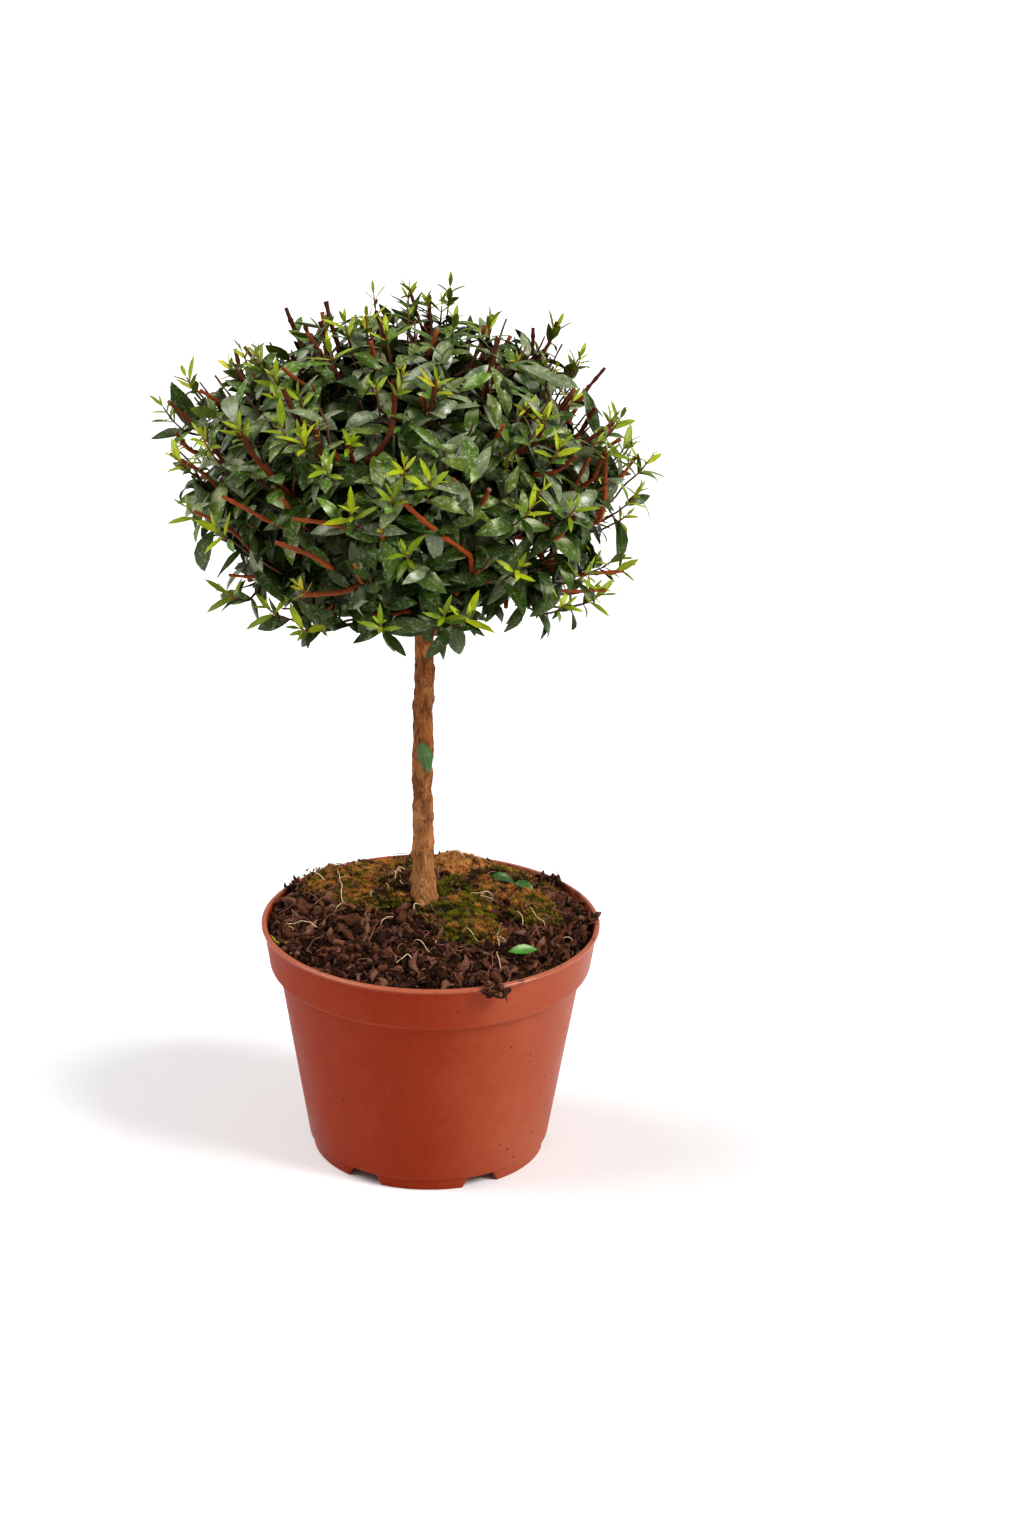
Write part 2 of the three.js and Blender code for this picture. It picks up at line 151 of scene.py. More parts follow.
# faceSets holds a list of face arrays for each material, and rim marks points whose shared edges stay sharp
def addPiece(name, points, faceSets, materials, nodes=(), mapUv=None, rim=None):
    sets = [(np.asarray(faces), number)
            for number, group in enumerate(faceSets) for faces in group if len(faces)]
    corners = np.concatenate([faces.ravel() for faces, _ in sets]).astype(np.int32)
    sizes = np.concatenate([np.full(len(faces), faces.shape[1]) for faces, _ in sets])
    numbers = np.concatenate([np.full(len(faces), number) for faces, number in sets])
    mesh = bpy.data.meshes.new(name)
    mesh.vertices.add(len(points))
    mesh.vertices.foreach_set("co", (points * metresPerMm).astype(np.float32).ravel())
    mesh.loops.add(len(corners))
    mesh.loops.foreach_set("vertex_index", corners)
    mesh.polygons.add(len(sizes))
    mesh.polygons.foreach_set("loop_start", (np.cumsum(sizes) - sizes).astype(np.int32))
    mesh.polygons.foreach_set("material_index", numbers.astype(np.int32))
    mesh.update(calc_edges=True)
    if mapUv is not None:
        layer = mesh.uv_layers.new(name="bladeMap")
        layer.data.foreach_set("uv", mapUv[corners].astype(np.float32).ravel())
    if rim is not None:
        ends = np.empty(2 * len(mesh.edges), np.int32)
        mesh.edges.foreach_get("vertices", ends)
        sharp = mesh.attributes.new("sharp_edge", "BOOLEAN", "EDGE")
        sharp.data.foreach_set("value", rim[ends.reshape(-1, 2)].all(1))
    for material in materials:
        mesh.materials.append(material)
    piece = bpy.data.objects.new(name, mesh)
    bpy.context.scene.collection.objects.link(piece)
    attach(piece, "root")
    if nodes:
        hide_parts(*nodes)
    return piece


# A piece of one material
def addSkin(name, surface, material, nodes=()):
    points, *faces = surface
    return addPiece(name, points, [faces], [material], nodes)


# Closed surface of revolution: profile is [radius, height] from the foot's middle, outside, to the top's
def spin(profile, segments):
    profile = np.asarray(profile, float)
    turn = fullTurn(segments)
    rings = profile[1:-1]
    skin = np.stack([np.outer(rings[:, 0], np.cos(turn)), np.outer(rings[:, 0], np.sin(turn)),
                     np.repeat(rings[:, 1:], segments, 1)], -1).reshape(-1, 3)
    poles = [[0, 0, profile[0, 1]], [0, 0, profile[-1, 1]]]
    return np.concatenate([skin, poles]), *ringFaces(len(rings), segments)


# Each corner of a profile becomes a short curve that starts and ends a reach away along its two edges
def softened(corners, reaches, steps=4):
    corners = np.asarray(corners, float)
    share = np.linspace(0, 1, steps + 1)[:, None]
    out = [corners[0]]
    for k in range(1, len(corners) - 1):
        before, corner, after = corners[k - 1], corners[k], corners[k + 1]
        reach = min(reaches[k], 0.45 * np.linalg.norm(before - corner), 0.45 * np.linalg.norm(after - corner))
        first, last = corner + unit(before - corner) * reach, corner + unit(after - corner) * reach
        out += list((1 - share) ** 2 * first + 2 * share * (1 - share) * corner + share ** 2 * last)
    return np.array(out + [corners[-1]])


# Round limbs for paths (limbs, points, 3) and radii (limbs, points): rings stand square to the path,
# and each end closes in a point
def tubes(paths, radii, sides):
    count, rings, _ = paths.shape
    ahead = np.concatenate([paths[:, 1:], paths[:, -1:]], 1)
    behind = np.concatenate([paths[:, :1], paths[:, :-1]], 1)
    along = unit(ahead - behind)
    helper = np.where(np.abs(along[:, 0, 2:3]) > 0.9, [[1.0, 0, 0]], [[0, 0, 1.0]])
    side = unit(np.cross(helper, along[:, 0]))
    across = np.empty_like(paths)
    for k in range(rings):
        side = unit(side - dot(side, along[:, k]) * along[:, k])
        across[:, k] = side
    other = np.cross(along, across)
    turn = fullTurn(sides)[:, None]
    ring = across[:, :, None] * np.cos(turn) + other[:, :, None] * np.sin(turn)
    skin = paths[:, :, None] + ring * radii[:, :, None, None]
    points = np.concatenate([skin.reshape(count, -1, 3), paths[:, :1], paths[:, -1:]], 1)
    return manyCopies(points, *ringFaces(rings, sides))


# Materials

# A value in a material's tree; arithmetic on it adds the Math nodes that work it out
class Shade:
    def __init__(self, tree, socket=None):
        self.tree = tree
        self.socket = socket

    # A new node: settings first, then a value or a link for each named or numbered socket
    def node(self, kind, settings=None, inputs=None, output=0):
        made = self.tree.nodes.new(kind)
        for name, setting in (settings or {}).items():
            setattr(made, name, setting)
        for name, value in (inputs or {}).items():
            if isinstance(value, Shade):
                self.tree.links.new(value.socket, made.inputs[name])
            else:
                made.inputs[name].default_value = value
        return Shade(self.tree, made.outputs[output]) if made.outputs else None

    def maths(self, operation, first, second=0.0):
        return self.node("ShaderNodeMath", {"operation": operation}, {0: first, 1: second})

    def __add__(self, other):
        return self.maths("ADD", self, other)

    def __sub__(self, other):
        return self.maths("SUBTRACT", self, other)

    def __rsub__(self, other):
        return self.maths("SUBTRACT", other, self)

    def __mul__(self, other):
        return self.maths("MULTIPLY", self, other)

    def __abs__(self):
        return self.maths("ABSOLUTE", self)

    __radd__ = __add__
    __rmul__ = __mul__

    def sine(self):
        return self.maths("SINE", self)

    # 0 below low, 1 above high, eased between
    def step(self, low, high):
        return self.node("ShaderNodeMapRange", {"interpolation_type": "SMOOTHSTEP", "clamp": True},
                         {"Value": self, "From Min": low, "From Max": high})

    # The first colour where this is 0, the second where it is 1
    def blend(self, first, second):
        return self.node("ShaderNodeMix", {"data_type": "RGBA"}, {0: self, 6: first, 7: second}, 2)

    def noise(self, place, scale, detail=3.0, rough=0.55):
        return self.node("ShaderNodeTexNoise", {},
                         {"Vector": place, "Scale": scale, "Detail": detail, "Roughness": rough})

    def cells(self, place, scale, feature="F1"):
        return self.node("ShaderNodeTexVoronoi", {"feature": feature}, {"Vector": place, "Scale": scale})

    # The place stretched by a scale for each axis
    def stretched(self, scale):
        return self.node("ShaderNodeMapping", {}, {"Vector": self, "Scale": scale})

    def part(self, axis):
        return self.node("ShaderNodeSeparateXYZ", {}, {0: self}, axis)

    def relief(self, strength, distance):
        return self.node("ShaderNodeBump", {}, {"Height": self, "Strength": strength, "Distance": distance})


def rgba(colour, gain=1.0):
    return (colour[0] * gain, colour[1] * gain, colour[2] * gain, 1.0)


# look(shade, place) returns the shader's inputs that vary; the specular ones stay constant
def makeMaterial(name, look, specular=0.5, specularTint=(1, 1, 1, 1)):
    material = bpy.data.materials.new(name)
    material.use_nodes = True
    tree = material.node_tree
    tree.nodes.clear()
    shade = Shade(tree)
    place = shade.node("ShaderNodeTexCoord", output="Object")
    fixed = {"Specular IOR Level": specular, "Specular Tint": specularTint}
    shader = shade.node("ShaderNodeBsdfPrincipled", {}, {**fixed, **look(shade, place)})
    shade.node("ShaderNodeOutputMaterial", {}, {"Surface": shader})
    return material


# A colour clouded between two gains of itself, with a roughness of rough[0] + rough[1] * clouds
def cloudedLook(colour, scale, gains, rough, detail=3, full=0.7):
    def look(shade, place):
        clouds = shade.noise(place, scale, detail)
        tint = clouds.step(0.3, full).blend(rgba(colour, gains[0]), rgba(colour, gains[1]))
        return {"Base Color": tint, "Roughness": rough[0] + clouds * rough[1]}
    return look


# Pot: foot ring with notches, tapered body, wide band, rounded lip, and a floor with drain holes

pot = {
    "segments": 432, "height": 81, "lipRadius": 56.5, "lipWidth": 2.1, "lipHeight": 1.7,
    "bandTopRadius": 55.6, "bandLowRadius": 53.6, "bandLowZ": 65,
    "bodyTopRadius": 50.6, "bodyLowRadius": 40.4,
    "footRadius": 39, "footWidth": 1.6, "footHeight": 3.8, "padRadius": 20, "wall": 1.1,
    "notchCount": 6, "notchFirstAngle": -122, "notchHeight": 3.4, "notchTop": 9.5, "notchFoot": 13,
    "drainRadius": 3, "drainRing": 30,
    # The pale colour after the pot's own is the dust, and also the painted sheen of one side and the painted
    # highlight of the lip
    "colour": (0.247, 0.021, 0.002), "dustyAndSheen": (0.42, 0.12, 0.06), "dirt": (0.035, 0.012, 0.007),
}


# Inside of the pot from the middle of its floor to the lip, moved in by a gap, as [radius, height]
def potInside(gap):
    floor, wall = pot["footHeight"] + pot["wall"], pot["wall"]
    return [[0, wall + gap], [pot["padRadius"] - wall - gap, wall + gap],
            [pot["padRadius"] + wall - gap, floor + gap], [pot["bodyLowRadius"] - wall - gap, floor + gap],
            [pot["bodyTopRadius"] - wall - gap, pot["bandLowZ"]],
            [pot["bandLowRadius"] - wall - gap, pot["bandLowZ"] + 2 * wall],
            [pot["lipRadius"] - pot["lipWidth"] - gap, pot["height"] - pot["lipHeight"]]]


# The whole profile as [radius, height, reach of the rounding], up the outside and down the inside, then spun
def makePot(material):
    footIn, footOut, footTop = pot["footRadius"] - pot["footWidth"], pot["footRadius"], pot["footHeight"]
    lip, lipLow, top = pot["lipRadius"], pot["height"] - pot["lipHeight"], pot["height"]
    band, bandLow = pot["bandLowRadius"], pot["bandLowZ"]
    outside = [
        [0, 0, 0], [pot["padRadius"], 0, 0.6], [pot["padRadius"] + pot["wall"], footTop, 0.6],
        [footIn - 0.3, footTop, 0.5], [footIn, 0, 0.4], [footOut, 0, 0.4], [footOut + 0.4, footTop, 0.3],
        [pot["bodyLowRadius"], footTop + 0.6, 0.5], [pot["bodyTopRadius"], bandLow, 0.9],
        [band - 1.2, bandLow, 0.9], [band, bandLow + 1.4, 1.2],
        [pot["bandTopRadius"], lipLow - 0.2, 0.3], [lip, lipLow + 0.5, 0.5], [lip, top - 0.4, 0.7],
        [lip - 0.9, top, 0.7], [lip - pot["lipWidth"] + 0.5, top, 0.5],
    ]
    inside = [[radius, height, 0.6] for radius, height in reversed(potInside(0))]
    corners = np.array(outside + inside)
    points, *faces = spin(softened(corners[:, :2], corners[:, 2]), pot["segments"])
    # A notch lifts the ring's foot to its own height, with sloping sides, and squeezes the ring above it
    angle = np.arctan2(points[:, 1], points[:, 0]) - math.radians(pot["notchFirstAngle"])
    pitch = 2 * math.pi / pot["notchCount"]
    away = footOut * np.abs((angle + pitch / 2) % pitch - pitch / 2)
    depth = np.clip((pot["notchFoot"] / 2 - away) / ((pot["notchFoot"] - pot["notchTop"]) / 2), 0, 1)
    radius, z = np.hypot(points[:, 0], points[:, 1]), points[:, 2]
    lift = np.where((z < footTop) & (radius > footIn - 1), depth * pot["notchHeight"], 0)
    points[:, 2] = lift + z * (1 - lift / footTop)
    drillDrains(addSkin("pot_shell", (points, *faces), material, ["pot"]))


# Cuts the drain holes with plain rods, which are then removed
def drillDrains(piece):
    turn = np.radians(pot["notchFirstAngle"]) + fullTurn(pot["notchCount"])
    middle = np.stack([np.cos(turn), np.sin(turn), np.zeros(len(turn))], 1) * pot["drainRing"]
    ends = np.stack([middle + zenith * (pot["footHeight"] + rise) for rise in (-2, 3)], 1)
    points, quads, fans = tubes(ends, np.full((len(turn), 2), float(pot["drainRadius"])), 24)
    mesh = bpy.data.meshes.new("drill")
    mesh.from_pydata((points * metresPerMm).tolist(), [], quads.tolist() + fans.tolist())
    drill = bpy.data.objects.new("drill", mesh)
    bpy.context.scene.collection.objects.link(drill)
    cut = piece.modifiers.new("drains", "BOOLEAN")
    cut.operation, cut.solver, cut.object = "DIFFERENCE", "EXACT", drill
    whole = bpy.data.meshes.new_from_object(piece.evaluated_get(bpy.context.evaluated_depsgraph_get()))
    piece.modifiers.clear()
    piece.data = whole
    bpy.data.objects.remove(drill)


# Terracotta-coloured plastic: faint turning rings, cloudy dust, a painted sheen that pales the +x side, a
# painted highlight that pales the lip, and fine specks of dirt
def potLook(shade, place):
    height = place.part(2)
    clouds = shade.noise(place, 38, 4).step(0.42, 0.72)
    fine = shade.noise(place, 420, 2)
    streaks = shade.noise(place.stretched((1, 1, 0.18)), 150, 3).step(0.5, 0.8)
    onLip = height.step(0.0796, 0.0806)
    rimDust = height.step(0.0772, 0.0802) * shade.noise(place, 190, 3).step(0.56, 0.68)
    specks = 1 - shade.cells(place, 190).step(0.05, 0.13)
    specks = specks * shade.noise(place, 45, 2).step(0.52, 0.6)
    # Painted sheen: the pale dust colour spreads over the +x side, where the light falls
    paintedSheenSide = place.part(0).step(-0.002, 0.034) * (clouds * 0.12 + 0.36)
    dustAndSheen = clouds * 0.07 + streaks * 0.05 + (fine - 0.5) * 0.16 + paintedSheenSide
    tint = (specks * 0.8).blend(dustAndSheen.blend(rgba(pot["colour"]), rgba(pot["dustyAndSheen"])), rgba(pot["dirt"]))
    # Painted highlight: the lip is blended towards the pale dust colour; the dirt by the rim is real
    tint = (rimDust * 0.6).blend((onLip * 0.7).blend(tint, rgba(pot["dustyAndSheen"])), rgba(pot["dirt"], 1.3))
    rings = (height * 5200).sine() * 0.12 + fine * 0.35 + streaks * 0.2 + clouds * 0.3
    return {"Base Color": tint, "Roughness": 0.36 + clouds * 0.16 + (fine - 0.5) * 0.16 - onLip * 0.1,
            "Coat Weight": onLip * 0.6, "Normal": rings.relief(0.16, 0.0004)}


makePot(makeMaterial("terracottaPlastic", potLook, 0.06))
print("pot made")


# Soil: a mound of damp peat and bark that fills the pot, with loose lumps, chips and pale root fibres

trunk = {"baseX": -2.4, "baseZ": 88.4, "forkX": -3.4, "forkZ": 203, "tipZ": 207.5, "flareRadius": 5,
         "radius": 3.65, "tipRadius": 3.2, "sway": 0.35}
# Lumps, grit, chips and fibres: how many, and the radius of the disc that they are strewn over
soil = {
    "edgeZ": 79, "centreRise": 9, "backRise": 3, "crumb": 0.35, "topRadius": 54.1, "wallGap": 0.3,
    "wallDrop": 1.3, "backDrop": 4.2, "rings": 96, "segments": 420, "seed": 11,
    "lumps": (3000, 53.0), "grit": (1500, 53.6), "chips": (420, 51.5), "fibres": (120, 50),
    "reach": 54.2, "lumpSize": (0.45, 2.6), "gritSize": (0.25, 0.6), "fibreRadius": 0.15,
    "dark": (0.004, 0.0011, 0.0005), "brown": (0.042, 0.0128, 0.0055), "reddish": (0.135, 0.045, 0.020),
    "grey": (0.21, 0.105, 0.07), "fibre": (0.90, 0.66, 0.36), "rootRed": (0.3, 0.1, 0.05),
}


def fromTrunk(x, y):
    return np.hypot(x - trunk["baseX"], y)


# Height of the mound without its crumbs: a dome about the trunk that rises towards the back
def mound(x, y):
    rise = soil["centreRise"] * np.maximum(0, 1 - (fromTrunk(x, y) / pot["bandTopRadius"]) ** 2)
    back = soil["backRise"] * np.maximum(0, y) / pot["bandTopRadius"]
    return soil["edgeZ"] + rise + back + soil["crumb"] * np.sin(0.31 * x + 1) * np.cos(0.27 * y)


def flatPoints(x, y):
    return np.stack([x, y, np.zeros_like(x)], -1)


# Height of the soil: the mound with clods of 15 and 6 mm and crumbs of 2.4 mm, lower and calmer at the wall
def ground(x, y):
    flat = flatPoints(x, y)
    clods = np.abs(ripple(flat, 15, 1)) * 0.75 + np.abs(ripple(flat, 6, 2)) * 0.5
    crumbs = ripple(flat, 2.4, 3) * 0.22
    edge = smoothStep(38, 54, np.hypot(x, y))
    drop = soil["wallDrop"] + soil["backDrop"] * np.clip(y / pot["bandTopRadius"], 0, 1)
    return mound(x, y) + (clods + crumbs - 0.85) * (1 - 0.6 * edge) - drop * edge


# The pot's inside closed by the top, whose rings start level, far above, and drop onto the ground
def makeSoil(material):
    level = 200.0
    top = np.linspace(soil["topRadius"], 0, soil["rings"])
    profile = np.concatenate([potInside(soil["wallGap"])[:-1], np.stack([top, np.full(len(top), level)], 1)])
    points, *faces = spin(profile, soil["segments"])
    onTop = points[:, 2] == level
    points[onTop, 2] = ground(points[onTop, 0], points[onTop, 1])
    addSkin("soil_mound", (points, *faces), material, ["soil"])


# Closed curled flakes: a small ball whose radius follows a random field, stretched, flattened, bent along its
# length as height = curl * length squared, and turned, for each centre
def lumps(centres, sizes, flatness, dice, rings=5, segments=8):
    turn = np.linspace(0, math.pi, rings + 2)
    points, *faces = spin(np.stack([np.sin(turn), -np.cos(turn)], 1), segments)
    count = len(centres)
    shift = dice.uniform(-50, 50, (count, 1, 3))
    field = ripple((points[None] * 0.9 + shift).reshape(-1, 3), 1.7, 5).reshape(count, -1, 1)
    stretch = np.stack([dice.uniform(1.0, 1.7, count), dice.uniform(0.5, 0.95, count), flatness], 1)[:, None]
    shape = points[None] * (1 + 0.3 * field) * stretch
    shape[..., 2] += dice.normal(0, 0.3, (count, 1)) * shape[..., 0] ** 2
    return (shape * sizes[:, None, None]) @ randomTurns(count, dice) + centres[:, None], faces


# Random right-handed sets of three axes
def randomTurns(count, dice):
    first = unit(dice.normal(size=(count, 3)))
    second = unit(np.cross(first, unit(dice.normal(size=(count, 3)))))
    return np.stack([first, second, np.cross(first, second)], 1)


# Points spread evenly over a disc
def scattered(count, radius, dice):
    angle, share = dice.uniform(0, 2 * math.pi, count), np.sqrt(dice.uniform(0, 1, count))
    return share * radius * np.cos(angle), share * radius * np.sin(angle)


# Clumps that the photograph shows on and over the rim: x, y, z, spread and number of lumps
rimClumps = {
    "frontRight": (21.5, -53.2, 80.6, 3.8, 60), "leftBack": (-45.0, 25.0, 81.2, 3.8, 36),
    "right": (53.4, 2.0, 81.0, 2.2, 12), "back": (-8.0, 45.0, 82.4, 2.0, 14),
    "rightBack": (38.5, 30.0, 82.2, 4.4, 36), "left": (-51.5, 12.0, 80.2, 2.0, 10),
}


# Lumps and grit strewn over the ground and clear of the trunk and wall, dealt out to the materials by share
def makeLumps(pieces):
    dice = np.random.default_rng(soil["seed"])
    lumpPlaces = scattered(*soil["lumps"], dice)
    lumpSizes = np.clip(dice.lognormal(0.12, 0.45, soil["lumps"][0]), *soil["lumpSize"])
    gritPlaces = scattered(*soil["grit"], dice)
    gritSizes = dice.uniform(*soil["gritSize"], soil["grit"][0])
    x, y = np.concatenate([lumpPlaces, gritPlaces], 1)
    size = np.concatenate([lumpSizes, gritSizes])
    keep = (fromTrunk(x, y) > 5.5 + size) & (np.hypot(x, y) + size < soil["reach"])
    x, y, size = x[keep], y[keep], size[keep]
    centres = np.stack([x, y, ground(x, y) + size * dice.uniform(-0.25, 0.35, len(x))], 1)
    for clumpX, clumpY, clumpZ, spread, count in rimClumps.values():
        around = dice.normal(size=(count, 3)) * [spread * 0.55, spread * 0.4, spread * 0.3]
        centres = np.concatenate([centres, np.array([clumpX, clumpY, clumpZ]) + around])
        size = np.concatenate([size, dice.uniform(0.6, 1.6, count)])
    points, faces = lumps(centres, size, dice.uniform(0.25, 0.65, len(size)), dice)
    kinds = dice.choice(len(pieces), len(size), p=[share for _, share in pieces.values()])
    for kind, (name, (material, _)) in enumerate(pieces.items()):
        addSkin(name, manyCopies(points[kinds == kind], *faces), material)


# Bark chips are short bent slivers, drawn in at both ends, laid near level and half sunk
def makeChips(material):
    dice = np.random.default_rng(soil["seed"] + 1)
    x, y = scattered(*soil["chips"], dice)
    keep = fromTrunk(x, y) > 7
    x, y = x[keep], y[keep]
    count = len(x)
    heading = dice.uniform(0, 2 * math.pi, count)
    tilt = dice.normal(0, 0.35, count)
    along = np.stack([np.cos(heading) * np.cos(tilt), np.sin(heading) * np.cos(tilt), np.sin(tilt)], 1)
    middle = np.stack([x, y, ground(x, y) + dice.uniform(0.1, 1.1, count)], 1)
    half = dice.uniform(1.2, 3.2, (count, 1))
    share = np.linspace(-1, 1, 5)
    paths = middle[:, None] + along[:, None] * (half * share)[..., None]
    paths[..., 2] += 0.3 * half * (1 - share ** 2) * dice.uniform(-1, 1, (count, 1))
    radii = dice.uniform(0.35, 0.8, (count, 1)) * np.array([0.35, 0.9, 1.0, 0.85, 0.3])
    addSkin("bark_chips", tubes(paths, radii * dice.uniform(0.8, 1.2, (count, 5)), 6), material)


# Pale root fibres lie in loose curves over the soil; these are the ones that the photograph shows, as the two
# ends and the middle of each
shownFibres = [
    ((-32.8, 23.5), (-30.5, 8.0), (-28.6, -6.0)), ((-31.5, 11.0), (-29.5, 9.5), (-28.0, 11.5)),
    ((-47.4, -9.9), (-42.0, -12.0), (-37.0, -17.5)), ((-22.0, 37.0), (-26.0, 40.0), (-31.0, 41.0)),
    ((-10.2, 13.0), (-11.8, 10.0), (-9.8, 8.0)), ((33.0, -4.0), (35.5, -11.0), (38.5, -12.0)),
    ((28.5, -6.5), (31.0, -11.0), (30.8, -14.5)), ((13.0, 2.0), (17.5, 1.0), (21.0, 4.0)),
    ((-3.5, -5.5), (-6.5, -9.0), (-4.6, -14.0)), ((23.5, -15.0), (21.5, -26.0), (23.8, -41.0)),
    ((-6.0, -28.0), (-3.0, -34.0), (2.0, -37.0)), ((26.0, -46.0), (28.0, -42.0), (28.5, -38.0)),
]


# Curves that arch over the bed with a slight swerve; most of the loose ones are red, and those shown are pale
def makeFibres(pale, red):
    dice = np.random.default_rng(soil["seed"] + 2)
    x, y = scattered(*soil["fibres"], dice)
    heading = dice.uniform(0, 2 * math.pi, len(x))
    long = dice.uniform(2.5, 8, len(x))
    first = np.stack([x, y], 1)
    last = first + np.stack([np.cos(heading), np.sin(heading)], 1) * long[:, None]
    last *= np.minimum(1, 51 / np.hypot(last[:, 0], last[:, 1]))[:, None]
    bend = (first + last) / 2 + dice.normal(0, 0.3, (len(x), 2)) * long[:, None]
    shown = np.array(shownFibres)
    ends = []
    for k, (loose, lift) in enumerate(((first, 1.5), (bend, 4.2), (last, 1.5))):
        place = np.concatenate([loose, shown[:, k]])
        ends.append(np.column_stack([place, bedTop(place[:, 0], place[:, 1]) + lift]))
    steps = 18
    paths = curvePoint(*ends, np.linspace(0, 1, steps)[None])
    paths += 0.3 * swerve(paths, 6, 14)
    radii = np.repeat(dice.uniform(0.1, 0.16, (len(paths), 1)), steps, 1)
    radii[-len(shown):] = soil["fibreRadius"]
    isRed = dice.uniform(size=len(paths)) < 0.75
    isRed[-len(shown):-1] = False
    addSkin("root_fibres_pale", tubes(paths[~isRed], radii[~isRed], 5), pale)
    addSkin("root_fibres_red", tubes(paths[isRed], radii[isRed], 5), red)


# Damp crumbly peat: near-black hollows, brown lights, grey crumbs and a little sparkle of damp
def peatLook(colour, light, sparkle=0.0):
    def look(shade, place):
        coarse = shade.noise(place, 260, 4)
        fine = shade.noise(place, 1400, 3, 0.7)
        tint = (coarse * 0.7 + fine * 0.5).step(0.4, 0.85).blend(rgba(colour), rgba(light))
        tint = fine.step(0.6, 0.7).blend(tint, rgba(soil["grey"]))
        return {"Base Color": tint, "Roughness": 0.92 - sparkle * fine.step(0.5, 0.7),
                "Normal": (coarse * 0.5 + fine * 0.7).relief(0.85, 0.0007)}
    return look


def fibreLook(colour):
    return cloudedLook(colour, 900, (0.6, 1), (0.6, 0.2), 2)


makeSoil(makeMaterial("peat", peatLook(soil["dark"], soil["brown"]), 0.05))
makeLumps({
    "peat_lumps": (makeMaterial("peatLump", peatLook(soil["dark"], soil["brown"], 0.3), 0.08), 0.46),
    "bark_lumps": (makeMaterial("barkLump", peatLook(soil["brown"], soil["reddish"], 0.3), 0.1), 0.40),
    "bark_crumbs_light": (makeMaterial("barkCrumb", peatLook(soil["reddish"], soil["grey"]), 0.2), 0.14),
})
makeChips(makeMaterial("barkChip", peatLook(soil["brown"], soil["reddish"], 0.35), 0.25))
print("soil made")


# Moss: low lobed cushions on the soil, with tiny pointed leaves dealt out by tint

mossCushions = {
    "moss_left": {"x": -25, "y": 14, "radiusX": 18, "radiusY": 16, "rise": 2.2},
    "moss_front": {"x": 11, "y": -11, "radiusX": 12.5, "radiusY": 17, "rise": 2.6},
    "moss_right": {"x": 30, "y": 3, "radiusX": 13, "radiusY": 11, "rise": 2.4},
    "moss_back": {"x": 8, "y": 29, "radiusX": 9.5, "radiusY": 8, "rise": 4.6},
}
# Where tufts grow, on the cushions and beside them: middle, radii, number of tufts, and shares of golden,
# green, rust and dark ones; the rest is amber
mossPatches = [
    (-25, 14, 18, 16, 1500, (0.26, 0.22, 0.20, 0.32)), (-17, -2, 9, 9, 420, (0.22, 0.44, 0.06, 0.28)),
    (-12, 27, 9, 8, 420, (0.24, 0.20, 0.24, 0.32)), (-30, 28, 8, 6, 260, (0.24, 0.20, 0.24, 0.32)),
    (11, -11, 12, 17, 1400, (0.08, 0.58, 0.04, 0.30)), (6, 5, 7, 7, 420, (0.04, 0.66, 0.02, 0.28)),
    (19, -22, 6, 6, 240, (0.56, 0.16, 0.24, 0.04)), (9, -27, 7, 5, 160, (0.20, 0.50, 0.06, 0.24)),
    (34, -3, 9, 10, 700, (0.16, 0.52, 0.10, 0.22)), (26, 9, 11, 5, 760, (0.34, 0.08, 0.50, 0.08)),
    (8, 29, 9, 7.5, 1000, (0.28, 0.0, 0.07, 0.0)), (14, 19, 9, 5, 320, (0.14, 0.06, 0.50, 0.30)),
    (29, 28, 13, 8, 760, (0.08, 0.30, 0.10, 0.52)), (17, 38, 10, 6, 260, (0.30, 0.06, 0.34, 0.30)),
]
moss = {
    "skirt": 1.5, "rings": 30, "segments": 96, "seed": 21,
    "blades": 7, "bladeLength": 1.5, "bladeWidth": 0.42,
    "tints": {"golden": (0.39, 0.158, 0.028), "green": (0.118, 0.108, 0.005), "rust": (0.37, 0.125, 0.032),
              "dark": (0.036, 0.029, 0.004), "amber": (0.57, 0.245, 0.07)},
    "bed": (0.10, 0.055, 0.016),
}


def lobes(angle, x):
    return 1 + 0.13 * np.sin(3 * angle + x)


# Distance from a cushion's middle as a share of the way to its lobed edge
def cushionShare(cushion, x, y):
    flatX, flatY = (x - cushion["x"]) / cushion["radiusX"], (y - cushion["y"]) / cushion["radiusY"]
    return np.hypot(flatX, flatY) / lobes(np.arctan2(flatY, flatX), cushion["x"])


# Top of a cushion over the soil: half an ellipsoid whose edge has three lobes, with small knolls on it
def cushionHeight(cushion, x, y):
    out = cushionShare(cushion, x, y)
    middle = mound(np.float64(cushion["x"]), np.float64(cushion["y"]))
    dome = (cushion["rise"] + moss["skirt"]) * np.sqrt(np.maximum(0, 1 - out ** 2))
    knolls = flatPoints(x, y)
    return middle - moss["skirt"] + 0.3 + dome + 0.55 * ripple(knolls, 4.2, 7) + 0.28 * ripple(knolls, 1.9, 8)


# Top of the soil or of any cushion that lies on it
def bedTop(x, y):
    heights = [ground(x, y)]
    for cushion in mossCushions.values():
        heights.append(np.where(cushionShare(cushion, x, y) < 1, cushionHeight(cushion, x, y) - 0.5, 0))
    return np.max(heights, 0)


